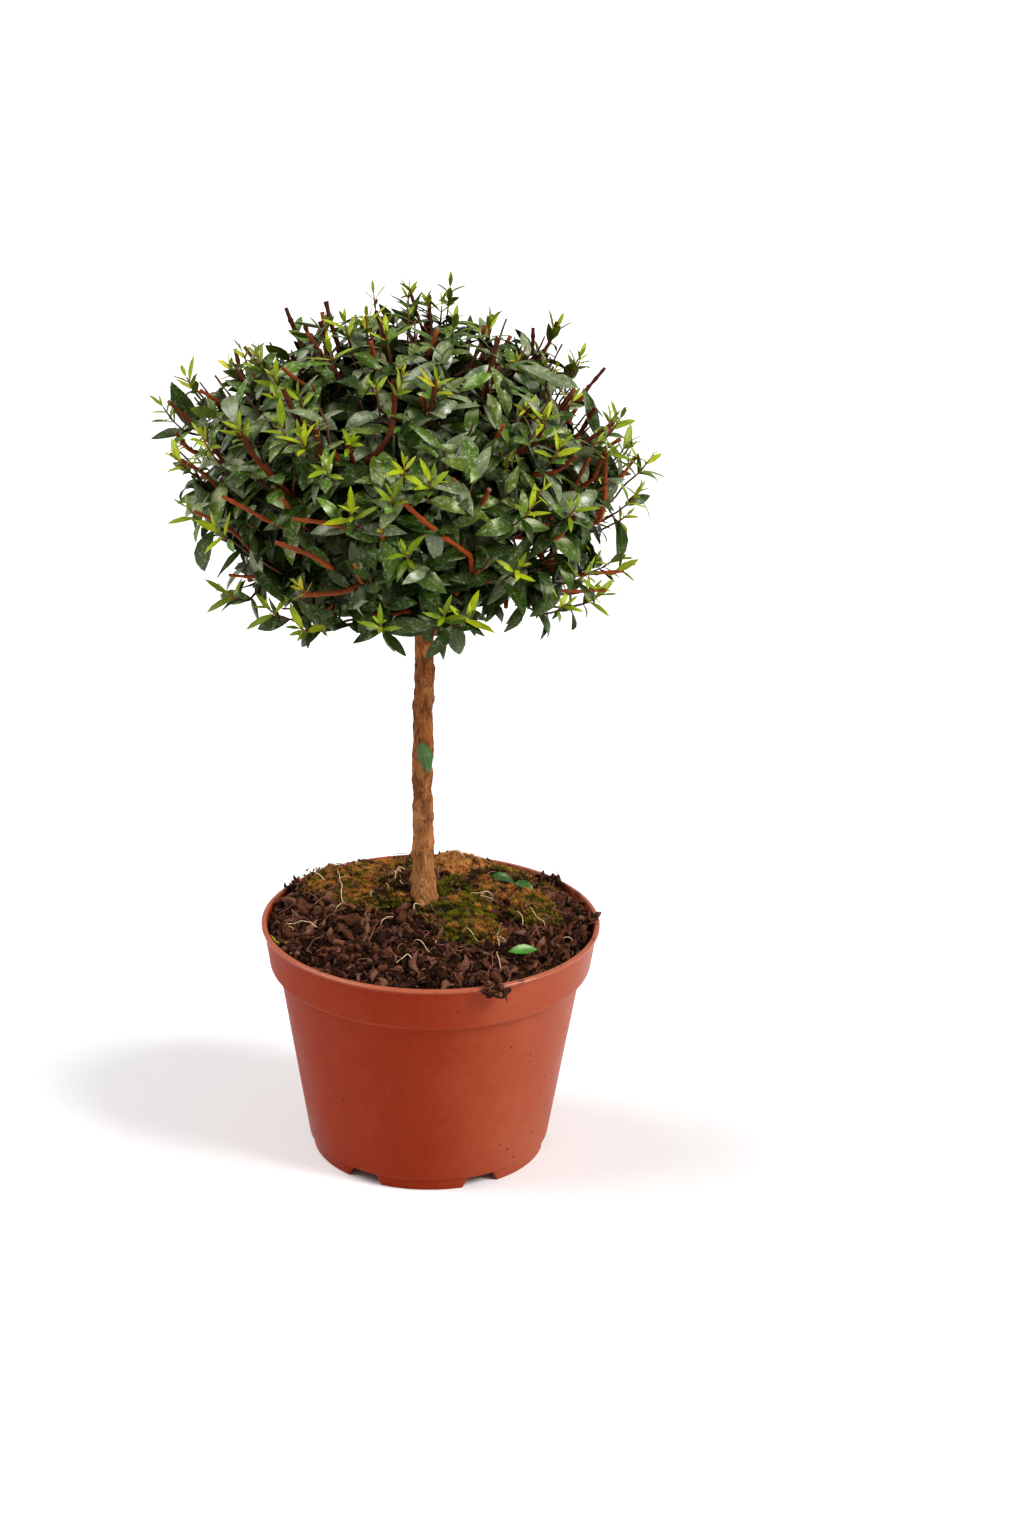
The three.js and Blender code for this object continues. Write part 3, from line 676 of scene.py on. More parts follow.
# Each cushion's bed: a lobed disc whose top follows the cushion and whose foot follows the mound, below it
def makeMossBeds(material):
    share = np.linspace(1, 0, moss["rings"])
    profile = np.concatenate([[[0, 0], [1, 0]], np.stack([share, np.full(len(share), 9.0)], 1)])
    for name, cushion in mossCushions.items():
        points, *faces = spin(profile, moss["segments"])
        swell = lobes(np.arctan2(points[:, 1], points[:, 0]), cushion["x"])
        onTop = points[:, 2] > 1
        x = cushion["x"] + points[:, 0] * cushion["radiusX"] * swell
        y = cushion["y"] + points[:, 1] * cushion["radiusY"] * swell
        foot = mound(x, y) - 1.6
        top = np.maximum(cushionHeight(cushion, x, y) - 0.5, foot + 0.2)
        points = np.stack([x, y, np.where(onTop, top, foot)], 1)
        addSkin(name + "_bed", (points, *faces), material, [name])


# Roots of the tufts and their tints by number: within a patch, tufts of one tint keep together
def tuftPlaces(dice):
    roots, kinds = [], []
    for middleX, middleY, radiusX, radiusY, count, tints in mossPatches:
        x, y = scattered(count, 1.0, dice)
        edge = lobes(np.arctan2(y, x), middleX) * (1 + 0.11 * dice.normal(size=count))
        x, y = middleX + x * radiusX * edge, middleY + y * radiusY * edge
        onCushion = np.min([cushionShare(cushion, x, y) for cushion in mossCushions.values()], 0) < 0.95
        sink = np.where(onCushion, -0.1, dice.uniform(0, 1.7, count))
        roots.append(np.stack([x, y, bedTop(x, y) + sink], 1))
        patch = ripple(flatPoints(x, y), 11, 9) - 0.9 * ripple(flatPoints(x, y), 4.2, 7)
        rank = (np.argsort(np.argsort(patch + 0.5 * dice.normal(size=count))) + 0.5) / count
        kinds.append(np.searchsorted(np.cumsum(tints), rank))
    roots, kinds = np.concatenate(roots), np.concatenate(kinds)
    inPot = (np.hypot(roots[:, 0], roots[:, 1]) < 53.4) & (fromTrunk(roots[:, 0], roots[:, 1]) > 5.2)
    return roots[inPot], kinds[inPot]


# Each tuft is a star of three-sided blades that lean out from its middle
def makeTufts(materials):
    dice = np.random.default_rng(moss["seed"])
    roots, kinds = tuftPlaces(dice)
    blades = moss["blades"]
    turn = dice.uniform(0, 2 * math.pi, (len(roots), 1)) + np.arange(blades) * goldenAngle
    lean = dice.uniform(0.15, 1.15, turn.shape)
    along = np.stack([np.cos(turn) * np.sin(lean), np.sin(turn) * np.sin(lean), np.cos(lean)], -1)
    along = along.reshape(-1, 3)
    root = np.repeat(roots, blades, 0) + along * 0.1
    side = unit(np.cross(along, zenith + 0.01))
    other = np.cross(along, side)
    width = moss["bladeWidth"] / 2 * dice.uniform(0.7, 1.25, (len(root), 1))
    tip = root + along * moss["bladeLength"] * dice.uniform(0.6, 1.25, (len(root), 1))
    corners = [root + width * (side * math.cos(angle) + other * math.sin(angle))
               for angle in (0, 2 * math.pi / 3, 4 * math.pi / 3)]
    points = np.stack(corners + [tip], 1)
    faces = [[0, 1, 3], [1, 2, 3], [2, 0, 3], [2, 1, 0]]
    for number, (tint, material) in enumerate(materials.items()):
        tufts = manyCopies(points[np.repeat(kinds, blades) == number], faces)
        addSkin("moss_" + tint, tufts, material, list(mossCushions))


def mossLook(colour):
    return cloudedLook(colour, 330, (0.5, 1.35), (0.7, 0.2), 3, 0.72)


def mossBedLook(shade, place):
    fine = shade.noise(place, 1100, 3, 0.7)
    tint = fine.step(0.35, 0.7).blend(rgba(moss["bed"], 0.35), rgba(moss["bed"], 1.5))
    return {"Base Color": tint, "Roughness": 0.9 + fine * 0.08, "Normal": fine.relief(0.9, 0.0008)}


makeMossBeds(makeMaterial("mossBed", mossBedLook, 0.05))
makeTufts({tint: makeMaterial("moss" + tint.capitalize(), mossLook(colour), 0.08)
           for tint, colour in moss["tints"].items()})
makeFibres(makeMaterial("paleFibre", fibreLook(soil["fibre"])),
           makeMaterial("redFibre", fibreLook(soil["rootRed"])))
print("moss made")


# Trunk: level rings up a faint sway, a root flare, leaf-scar knobs and flaking bark

bark = {
    "rings": 520, "sides": 104, "seed": 31,
    "knobs": 34, "knobHeight": 0.42, "knobSize": 1.7, "flake": 0.17, "crack": 0.16,
    "tan": (0.26, 0.080, 0.019), "brown": (0.12, 0.031, 0.008),
    "pale": (0.62, 0.29, 0.10), "dark": (0.05, 0.02, 0.01),
}


def trunkCentre(share):
    lean = trunk["baseX"] + (trunk["forkX"] - trunk["baseX"]) * share
    sway = trunk["sway"] * np.sin(5 * share)
    return np.stack([lean - sway, sway, trunk["baseZ"] + (trunk["tipZ"] - trunk["baseZ"]) * share], -1)


# An even taper, with a flare that dies away from the foot and a knuckle under the fork
def trunkRadius(share):
    flare = (trunk["flareRadius"] - trunk["radius"]) * np.exp(-22 * np.maximum(share, 0))
    knuckle = 0.5 * np.exp(-((share - 0.9) / 0.08) ** 2)
    return trunk["radius"] + (trunk["tipRadius"] - trunk["radius"]) * share + flare + knuckle


# Rings whose radius adds cracks, flakes, knobs in pairs that cross by a right angle, and four root ridges
def makeTrunk(material):
    share = np.linspace(-0.02, 1, bark["rings"])[:, None]
    turn = fullTurn(bark["sides"])[None]
    middle, radius = trunkCentre(share[:, 0]), trunkRadius(share)
    ring = np.stack([np.cos(turn), np.sin(turn), np.zeros_like(turn)], -1)
    smooth = middle[:, None] + ring * radius[..., None]
    grain = smooth * [1, 1, 0.22]
    cracks = np.abs(ripple(grain, 1.5, 41)) * 0.6 + np.abs(ripple(grain, 3.2, 42)) * 0.5
    flakes = smoothStep(-0.15, 0.15, ripple(smooth * [1, 1, 0.55], 4.6, 43))
    flakes += smoothStep(0.5, 0.75, ripple(smooth * [1, 1, 0.5], 3.0, 44))
    relief = bark["crack"] * (cracks - 0.8) + bark["flake"] * (flakes - 0.8)
    relief = relief + 0.14 * ripple(smooth, 7.5, 45) - 0.25
    dice = np.random.default_rng(bark["seed"])
    for k in range(bark["knobs"]):
        at = 0.03 + 0.94 * (k + dice.uniform(-0.3, 0.3)) / bark["knobs"]
        side = k // 2 * math.pi / 2 + (k % 2) * math.pi + dice.normal(0, 0.35)
        across = trunk["radius"] * ((turn - side + math.pi) % (2 * math.pi) - math.pi)
        up = (share - at) * (trunk["tipZ"] - trunk["baseZ"])
        size = bark["knobSize"] * dice.uniform(0.7, 1.25)
        height = bark["knobHeight"] * dice.uniform(0.5, 1.3)
        relief = relief + height * np.exp(-(across / size) ** 2 - (up / (0.75 * size)) ** 2)
    roots = 0.5 * np.exp(-30 * np.maximum(share, 0)) * np.cos(4 * turn + 0.6)
    rings = middle[:, None] + ring * (radius + relief + roots)[..., None]
    points = np.concatenate([rings.reshape(-1, 3), middle[:1], middle[-1:] + [[0, 0, 0.6]]])
    faces = ringFaces(bark["rings"], bark["sides"])
    addSkin("trunk_bark", (points, *faces), material, ["trunk"])


# Thin bark that flakes off in long scales: tan skin, darker brown under it, pale streaks and fine dark
# cracks, and a painted light that pales the foot
def barkLook(shade, place):
    long = place.stretched((1, 1, 0.3))
    scales = shade.noise(place.stretched((1, 1, 0.45)), 240, 4, 0.6).step(0.46, 0.54)
    peels = shade.noise(long, 330, 3, 0.5).step(0.55, 0.6)
    streaks = shade.noise(long, 900, 3).step(0.52, 0.72)
    cracks = 1 - shade.cells(place.stretched((1, 1, 0.4)), 520, "DISTANCE_TO_EDGE").step(0.0, 0.09)
    fine = shade.noise(long, 2600, 3, 0.7)
    tint = scales.blend(rgba(bark["brown"]), rgba(bark["tan"]))
    # Painted light: the foot, which the crown shades, is painted paler with the streak colour
    low = 1 - place.part(2).step(0.088, 0.15)
    tint = (streaks * 0.22 + peels * 0.2 + low * 0.36).blend(tint, rgba(bark["pale"]))
    tint = (cracks * shade.noise(place, 300, 2).step(0.45, 0.62) * 0.75).blend(tint, rgba(bark["dark"]))
    tint = ((fine - 0.5) * 0.9).blend(tint, rgba(bark["brown"], 0.7))
    return {"Base Color": tint, "Roughness": 0.72 + fine * 0.2,
            "Normal": (scales * 0.5 + peels * 0.4 + fine * 0.6 - cracks * 0.5).relief(0.7, 0.0003)}


makeTrunk(makeMaterial("flakingBark", barkLook, 0.12))
print("trunk made")


# Camera of the reference view, worked out from the ellipses of the pot's rim, band and foot

lens = {"x": 26.2, "y": -1220.8, "z": 624.9, "down": 21.826, "roll": 1.031, "focal": 93.75, "sensor": 36,
        "imageWidth": 1024, "imageHeight": 1536}


# Unit rays through pixels of the reference view
def pixelRays(pixels):
    pixels = np.asarray(pixels, float)
    scale = lens["sensor"] / lens["focal"] / lens["imageHeight"]
    x, y = (pixels[:, 0] - lens["imageWidth"] / 2) * scale, (lens["imageHeight"] / 2 - pixels[:, 1]) * scale
    roll, down = math.radians(lens["roll"]), math.radians(lens["down"])
    across, up = x * math.cos(roll) - y * math.sin(roll), x * math.sin(roll) + y * math.cos(roll)
    ahead, rise = math.cos(down) + up * math.sin(down), up * math.cos(down) - math.sin(down)
    return unit(np.stack([across, ahead, rise], 1))


# Crown: the source's rule from the fork, carried on from its branchlets to finer twigs.
# Its points are measured from the fork

fork = np.array([trunk["forkX"], 0.0, trunk["forkZ"]])
crown = {
    "x": -10.5, "y": 0, "z": 240, "halfWidth": 74, "halfDepth": 71, "halfHeight": 50, "seed": 40,
    "squareness": 2.5, "roundAbove": 2.25, "roundBelow": 2.9,
    "boughCount": 13, "boughLowestSine": -0.2, "boughReach": 25, "boughRadii": (1.75, 1.25, 0.8),
    "straightEnd": 6, "stemShare": 0.6, "lowestStart": -20, "highestStart": 3,
    "branchletCount": 78, "branchletLowestSine": -0.46, "drawnToStem": 0.12,
    "tipLeast": 1.05, "tipSpread": 0.08, "shoot": 15, "leader": (1, -4, 300),
    "pathPoints": 16, "mostTurn": 150, "rise": 1.3,
    "twigs": 385, "twigReach": (0.79, 0.97), "innerTwigs": 95, "innerReach": (0.48, 0.78),
    "twigLength": (21, 33), "towardTop": 0.12, "clumps": 0.07, "clumpSize": 28, "trunkRoom": 14,
    "twigMost": 1.09, "tipBare": 0.4, "shootDrop": 7.0,
    "stemBack": 14, "stemDepth": 0.9, "stemLean": (0.25, 0.9), "stemClear": 0.3, "cleared": 0.8,
    "cutStems": 28, "cutRadius": (0.5, 0.85), "cutBare": (3, 11), "cutReach": (0.9, 1.02),
    "leafMost": 1.06, "shownMost": 1.3, "hang": 44, "shownHang": 49, "highest": 299.5,
}
crownCentre = np.array([crown["x"], crown["y"], crown["z"]]) - fork
crownHalves = np.array([crown["halfWidth"], crown["halfDepth"], crown["halfHeight"]], float)
eye = np.array([lens["x"], lens["y"], lens["z"]]) - fork


# Evenly spread directions on a golden-angle spiral, from a lowest slope up to the zenith
def spiralDirections(count, lowestSine):
    i = np.arange(count)
    sine = lowestSine + (1 - lowestSine) * (i + 0.5) / count
    level = np.sqrt(1 - sine ** 2)
    return np.stack([level * np.cos(i * goldenAngle), level * np.sin(i * goldenAngle), sine], 1)


# Where the leaves stay short of the even outline: direction from the crown's middle, spread,
# and share of the radius
hollows = [
    ((-0.72, -0.15, -0.68), 0.38, 0.04), ((-0.4, -0.3, -0.86), 0.34, 0.05), ((0.62, 0.1, 0.78), 0.34, 0.09),
    ((-0.62, 0.1, 0.78), 0.3, 0.07), ((0.99, 0, -0.14), 0.2, 0.07), ((0.52, -0.2, -0.83), 0.32, 0.11),
    ((-0.98, 0, -0.2), 0.22, 0.05),
]


# 1 on the clipped outline and less inside it. With no squareness given it's the leaves' own outline,
# which has a rounder top and the hollows
def outlineValue(p, squareness=None):
    flat = (p - crownCentre) / crownHalves
    n = squareness or np.where(flat[..., 2] > 0, crown["roundAbove"], crown["roundBelow"])
    value = (np.hypot(flat[..., 0], flat[..., 1]) ** n + np.abs(flat[..., 2]) ** n) ** (1 / n)
    if squareness:
        return value
    way = unit(flat)
    return value / (1 - sum(depth * np.exp((way @ unit(np.array(toward)) - 1) / spread ** 2)
                            for toward, spread, depth in hollows))


# Distance from the fork to the outline along directions, by halving
def outlineDistance(directions):
    near, far = np.zeros(len(directions)), np.full(len(directions), 2.0 * crown["halfWidth"])
    for _ in range(24):
        middle = (near + far) / 2
        inside = outlineValue(directions * middle[:, None], crown["squareness"]) < 1
        near, far = np.where(inside, middle, near), np.where(inside, far, middle)
    return near


# Points that lie a reach away from the crown's middle, as a share of its half sizes
def fromCentre(ways, reach):
    return crownCentre + ways * crownHalves * reach[:, None]


# Where the camera's rays first come within a share of the outline, or pass nearest to it
def meetCrown(pixels, share):
    rays = pixelRays(pixels)
    steps = np.linspace(1100, 1420, 640)
    along = eye + rays[:, None] * steps[None, :, None]
    value = outlineValue(along)
    within = value < np.reshape(share, (-1, 1))
    first = np.where(within.any(1), within.argmax(1), value.argmin(1))
    return along[np.arange(len(rays)), first]


# Corners of a stem that the photograph shows: its tip stands where the camera's ray meets the crown, and
# the rest follows the crown under its pixels, but leans to or from the camera by no more than a share of its
# length
def stemCorners(pixels, share):
    rays = pixelRays(pixels)
    far = np.linalg.norm(meetCrown(pixels, share) - eye, axis=1)
    length = np.linalg.norm(rays - rays[-1], axis=1) * far[-1]
    far = far[-1] + np.clip(far - far[-1], -crown["stemLean"][0] * length, crown["stemLean"][1] * length)
    return eye + rays * far[:, None]


boughDirections = spiralDirections(crown["boughCount"], crown["boughLowestSine"])


# The boughs as curves from the fork: their starts on the trunk, bends, and ends square to their directions
def boughCurves():
    start = unit(boughDirections * [1, 1, 0]) * trunk["tipRadius"] * 0.75
    start[:, 2] = np.linspace(crown["lowestStart"], crown["highestStart"], len(start))
    straight = boughDirections * (crown["boughReach"] - crown["straightEnd"])
    rising = start + (straight - start) * 0.45
    rising[:, 2] = start[:, 2] + 2.5
    return start, rising, straight


# The branchlets by the source's rule, as curves from their mass's stem out towards the outline
def branchletCurves(dice):
    leader = np.array(crown["leader"]) - fork
    targets = spiralDirections(crown["branchletCount"], crown["branchletLowestSine"])
    targets[-1] = unit(leader)
    stems = boughDirections[(targets @ boughDirections.T).argmax(1)]
    toward = unit(targets + (stems - targets) * crown["drawnToStem"])
    toward[-1] = unit(leader)
    most = crown["tipLeast"] + crown["tipSpread"] * dice.uniform(size=len(targets))
    reach = outlineDistance(toward) * most
    reach[-1] = np.linalg.norm(leader)
    rootShare = 0.25 + 0.15 * dice.uniform(size=len(targets))
    rootAt = (crown["boughReach"] + rootShare * (reach - crown["boughReach"]))[:, None]
    root = stems * rootAt
    end = toward * (reach - crown["shoot"])[:, None]
    middle = (root + end) / 2
    middle += (toward * rootAt - middle) * 0.2
    return root, middle, end


growthDice = np.random.default_rng(crown["seed"])
branchlets = branchletCurves(growthDice)
spine, spineSlope = [curve(*branchlets, np.linspace(0.08, 1, 20)[None]).reshape(-1, 3)
                     for curve in (curvePoint, curveSlope)]


# Which way a shoot grows where it ends: away from the fork, and up to the light
def growthWay(tips, wander):
    rise = crown["rise"] * smoothStep(-30, 15, tips[:, 2:])
    return unit(unit(tips) + zenith * rise + wander * growthDice.normal(size=tips.shape))


# Smooth path from the branchlet that lies nearest behind and inward of a shoot's lower end, then on through
# the corners to its tip. One that would turn too far goes straight to its corners, or leaves the first out
def shootPath(corners, back, way):
    outward = unit(corners[0] - crownCentre)
    ahead = unit(way * 0.5 + outward)
    behind = (corners[0] - spine) @ ahead
    away = np.linalg.norm(spine - (corners[0] - ahead * back), axis=1) + 5 * np.maximum(9 - behind, 0)
    nearest = away.argmin()
    gap = np.linalg.norm(corners[0] - spine[nearest])
    lead = [spine[nearest], spine[nearest] + spineSlope[nearest] * gap * 0.2,
            corners[0] - unit(way + outward * 0.6) * gap * 0.35]
    path = smoothPath(np.concatenate([lead, corners]), crown["pathPoints"])
    if turned(path) > crown["mostTurn"]:
        path = smoothPath(np.concatenate([lead[:1], corners]), crown["pathPoints"])
    if turned(path) > crown["mostTurn"] and len(corners) > 2:
        path = shootPath(corners[1:], back, way)
    return path


# Twigs that the photograph shows in outline or bare in front: pixels from the lower end to the tip,
# how deep the tip stands in the crown (1 is the outline), and radius in mm
shownStems = [
    (((299, 342), (286, 308)), 1.03, 0.75), (((336, 341), (326, 302)), 1.03, 0.8),
    (((386, 445), (395, 413), (394, 380)), 1.0, 0.85), (((394, 409), (392, 359), (376, 311)), 1.02, 0.7),
    (((254, 402), (240, 370), (235, 349)), 1.0, 0.65), (((299, 422), (283, 389)), 1.02, 0.95),
    (((269, 475), (238, 432)), 1.03, 0.8), (((320, 459), (316, 428)), 1.04, 0.85),
    (((233, 462), (183, 415), (168, 401)), 1.04, 0.6), (((215, 479), (170, 454)), 1.05, 0.65),
    (((470, 552), (471, 465), (484, 395), (498, 338)), 1.0, 0.85), (((532, 359), (533, 328)), 1.0, 0.65),
    (((543, 359), (557, 322)), 1.0, 0.6), (((564, 409), (579, 397), (605, 368)), 1.03, 0.6),
    (((537, 449), (545, 413)), 1.04, 0.75), (((430, 411), (437, 374)), 1.02, 0.65),
    (((595, 479), (605, 450)), 1.04, 0.6), (((550, 479), (576, 456)), 1.02, 0.65),
    (((620, 479), (636, 457)), 1.02, 0.55), (((430, 341), (429, 295)), 1.0, 0.7),
    (((425, 341), (410, 290)), 1.0, 0.5), (((589, 440), (614, 422)), 1.03, 0.6),
    (((354, 527), (292, 519)), 1.02, 0.65), (((336, 573), (315, 557), (275, 542)), 1.03, 0.75),
    (((363, 592), (301, 595)), 1.02, 0.75), (((365, 591), (354, 564)), 1.0, 0.6),
    (((294, 534), (222, 496)), 1.03, 0.65), (((240, 532), (194, 511)), 1.04, 0.55),
    (((270, 579), (229, 575)), 1.03, 0.5), (((470, 555), (432, 528), (400, 500)), 1.03, 0.7),
    (((604, 520), (606, 452)), 1.04, 0.65), (((560, 592), (606, 590)), 1.03, 0.55),
    (((570, 575), (624, 571)), 1.03, 0.6),
]

# Tips of young shoots that the photograph shows, as pixels, each with its share of the outline
shownShoots = [
    (163, 400, 1.06), (188, 370, 1.05), (244, 346, 1.04), (258, 352, 1.02), (281, 416, 1.04),
    (326, 458, 1.05), (404, 458, 1.05), (392, 488, 1.05), (404, 545, 1.03), (368, 312, 1.03),
    (384, 322, 1.02), (344, 318, 1.03), (410, 286, 1.0), (441, 300, 1.0), (449, 281, 1.0), (455, 316, 1.0),
    (490, 318, 1.0), (437, 374, 1.05), (533, 500, 1.05), (558, 322, 1.0), (580, 352, 1.03),
    (618, 412, 1.03), (626, 436, 1.03), (648, 452, 1.05), (636, 486, 1.03), (616, 552, 1.03),
    (566, 596, 1.03), (443, 606, 1.03), (298, 622, 1.02), (268, 600, 1.0), (205, 430, 1.04),
    (300, 430, 1.04), (470, 605, 1.03), (590, 566, 1.03), (176, 452, 1.05), (190, 500, 1.05),
    (215, 522, 1.04), (432, 470, 1.05), (352, 505, 1.03), (520, 560, 1.03), (575, 500, 1.03),
    (560, 440, 1.03), (600, 588, 1.05), (225, 585, 1.05), (380, 615, 1.04), (240, 420, 1.03),
    (330, 340, 1.03),
]

# Where the photograph shows sky through the crown, as pixels and the gap's radius in mm
skyGaps = [
    (626, 499, 2.2), (220, 543, 2.3), (585, 375, 1.9), (267, 596, 1.2), (188, 447, 1.8), (201, 533, 2.0),
    (201, 453, 1.9), (541, 547, 2.1), (602, 419, 1.4), (624, 439, 1.2), (216, 382, 1.5), (623, 524, 1.5),
    (625, 547, 1.3), (564, 398, 1.4), (178, 386, 0.8), (588, 587, 1.0), (261, 347, 1.0), (344, 620, 1.0),
    (377, 621, 1.0), (617, 539, 1.0), (233, 586, 1.0), (327, 345, 1.0), (405, 336, 1.0), (470, 352, 1.3),
    (604, 582, 1.0), (565, 355, 0.9), (236, 559, 1.1), (183, 472, 0.9), (586, 419, 1.0), (523, 539, 1.2),
    (333, 360, 1.1), (289, 344, 0.8), (505, 324, 0.7), (347, 441, 0.9), (311, 455, 0.9), (297, 548, 1.0),
]


# Leaves that cross lines of sight before the ends of those lines, judged at four points of each rib
def crossing(roots, ends, halfWidth, rays, radii, fars):
    across = np.zeros(roots.shape[:-1], bool)
    for ray, radius, far in zip(rays, radii, fars):
        for share, wide in ((0.15, 0.5), (0.4, 0.95), (0.65, 0.9), (0.9, 0.4)):
            toward = roots + (ends - roots) * share - eye
            along = dot(toward, ray)
            near = np.linalg.norm(toward - along * ray, axis=-1) < radius + halfWidth * wide
            across |= near & (along[..., 0] < far)
    return across


# Leaves that cover a gap, or the bare part of a stem that the photograph shows
def covering(roots, ends, halfWidth):
    pixels, radii = [gap[:2] for gap in skyGaps], [gap[2] for gap in skyGaps]
    gaps = crossing(roots, ends, halfWidth, pixelRays(pixels), radii, [math.inf] * len(skyGaps))
    paths, bare = cutStems["paths"][:len(shownStems)], cutStems["bare"][:len(shownStems), None]
    bare = bare / pathLength(paths)[:, None] * crown["cleared"]
    points = pathPoint(paths, 1 - bare * np.linspace(0.04, 1, 6))[0].reshape(-1, 3)
    fars = np.linalg.norm(points - eye, axis=1)
    rays = (points - eye) / fars[:, None]
    return gaps | crossing(roots, ends, halfWidth * 0.6, rays, [crown["stemClear"]] * len(points), fars - 1)


# Tips of the finer twigs: even ones over the outline and its clumps, those shown, and inner ones
def twigTips():
    even, inner = spiralDirections(crown["twigs"], -1), spiralDirections(crown["innerTwigs"], -1)
    even = even + zenith * crown["towardTop"] * (1 - even[:, 2:] ** 2)
    even = unit(even + growthDice.normal(0, 0.06, even.shape))
    groups = []
    for ways, (least, most) in ((even, crown["twigReach"]), (inner, crown["innerReach"])):
        reach = 1 / outlineValue(fromCentre(ways, np.ones(len(ways))))
        clumps = crown["clumps"] * ripple(ways * crownHalves, crown["clumpSize"], 64)
        reach *= growthDice.uniform(least, most, len(ways)) + clumps
        tips = fromCentre(ways, reach)
        groups.append(tips[(tips[:, 2] > 8) | (np.hypot(tips[:, 0], tips[:, 1]) > crown["trunkRoom"])])
    shown = np.array([meetCrown([[x, y]], share)[0] for x, y, share in shownShoots])
    return groups[0], shown, groups[1]


# Leafy twigs as paths, with the length at the tip that stays bare. Those that leave the outline are dropped
def growTwigs():
    groups = twigTips()
    tips = np.concatenate(groups)
    kind = np.repeat(["even", "shown", "inner"], [len(group) for group in groups])
    isShown, isInner = kind == "shown", kind == "inner"
    ways, backs = growthWay(tips, 0.17), growthDice.uniform(*crown["twigLength"], len(tips))
    tips[isShown] -= ways[isShown] * crown["shootDrop"]
    paths = np.array([shootPath(tip[None], back, way) for tip, back, way in zip(tips, backs, ways)])
    keep = isShown | (outlineValue(paths).max(1) < crown["twigMost"])
    bare = np.full(keep.sum(), crown["tipBare"])
    print(len(bare), "of", len(keep), "twigs kept")
    return {"paths": paths[keep], "bare": bare, "inner": isInner[keep], "shown": isShown[keep]}


# Cut stems as paths with a radius and the length that stays bare: those shown, then others spread over the
# crown. The ones whose tips stand high are dark
def growCutStems():
    stems = []
    for pixels, share, radius in shownStems:
        corners = stemCorners(pixels, np.linspace(crown["stemDepth"], share, len(pixels)))
        way = unit(unit(corners[1] - corners[0]) * 0.6 + unit(corners[0]) * 0.5)
        length = np.linalg.norm(np.diff(corners, axis=0), axis=1).sum()
        bareShare = 0.82 if len(pixels) < 4 else 0.42
        stems.append((shootPath(corners, crown["stemBack"], way), radius * 0.92, bareShare * length))
    toward = spiralDirections(crown["cutStems"], -0.1)
    toward = unit(toward + growthDice.normal(0, 0.1, toward.shape))
    reach = growthDice.uniform(*crown["cutReach"], len(toward))
    tips = fromCentre(toward, reach / outlineValue(fromCentre(toward, np.ones(len(toward)))))
    for tip, way in zip(tips, growthWay(tips, 0.12)):
        corners = np.array([tip - way * 9 - unit(tip - crownCentre) * 3, tip])
        path = shootPath(corners, crown["stemBack"], way)
        stems.append((path, growthDice.uniform(*crown["cutRadius"]), growthDice.uniform(*crown["cutBare"])))
    paths, radii, bare = [np.array(part) for part in zip(*stems)]
    isDark = paths[:, -1, 2] + growthDice.normal(0, 4, len(paths)) > wood["darkAbove"] - fork[2]
    return {"paths": paths, "radius": radii, "bare": bare, "isDark": isDark}


wood = {
    "dark": (0.050, 0.009, 0.003), "red": (0.24, 0.044, 0.009), "brown": (0.12, 0.042, 0.013),
    "cut": (0.17, 0.085, 0.045), "olive": (0.13, 0.10, 0.015), "darkAbove": 249,
    "branchletRadii": (1.05, 0.65), "twigRadii": (0.55, 0.3), "nodeSpacing": 5.6, "nodeSwell": 0.35,
}
leafyTwigs = growTwigs()
cutStems = growCutStems()
boughNodes, foliageNodes = [["%s_%02d" % (kind, k + 1) for k in range(crown["boughCount"])]
                            for kind in ("bough", "foliage")]


# Limbs inside the masses of foliage
def addLimbs(name, limbs, radii, sides, material):
    addSkin(name, tubes(limbs + fork, radii, sides), material, foliageNodes)


# The boughs' curves carried on straight as the stems of their masses
def makeBoughs(material):
    steps = 14
    start = crown["boughReach"] - crown["straightEnd"]
    end = crown["stemShare"] * outlineDistance(boughDirections)
    run = start + (end - start)[:, None] * np.linspace(0.06, 1, steps)
    curved = curvePoint(*boughCurves(), np.linspace(0, 1, steps)[None])
    paths = np.concatenate([curved, boughDirections[:, None] * run[..., None]], 1)
    paths = paths + swerve(paths, 22, 51) * 0.35 * np.minimum(np.arange(2 * steps) / 6, 1)[:, None]
    radii = np.interp(np.arange(2 * steps), [0, steps, 2 * steps - 1], crown["boughRadii"])
    radii = radii * (1 + 0.08 * ripple(paths, 4, 54))
    addSkin("bough_limbs", tubes(paths + fork, radii, 16), material, boughNodes)


def makeBranchlets(material):
    limbs = wandering(curvePoint(*branchlets, np.linspace(0, 1, 12)[None]), 22, 12, 0.35, 55)
    radii = np.linspace(*wood["branchletRadii"], 22) * (1 + 0.12 * ripple(limbs, 3, 58))
    addLimbs("branchlets", limbs, radii, 8, material)


def makeTwigs(material):
    limbs = wandering(leafyTwigs["paths"], 12, 9, 0.25, 59)
    radii = np.linspace(*wood["twigRadii"], 12) * (1 + 0.14 * ripple(limbs, 2.5, 62))
    addLimbs("twigs_fine", limbs, radii, 6, material)


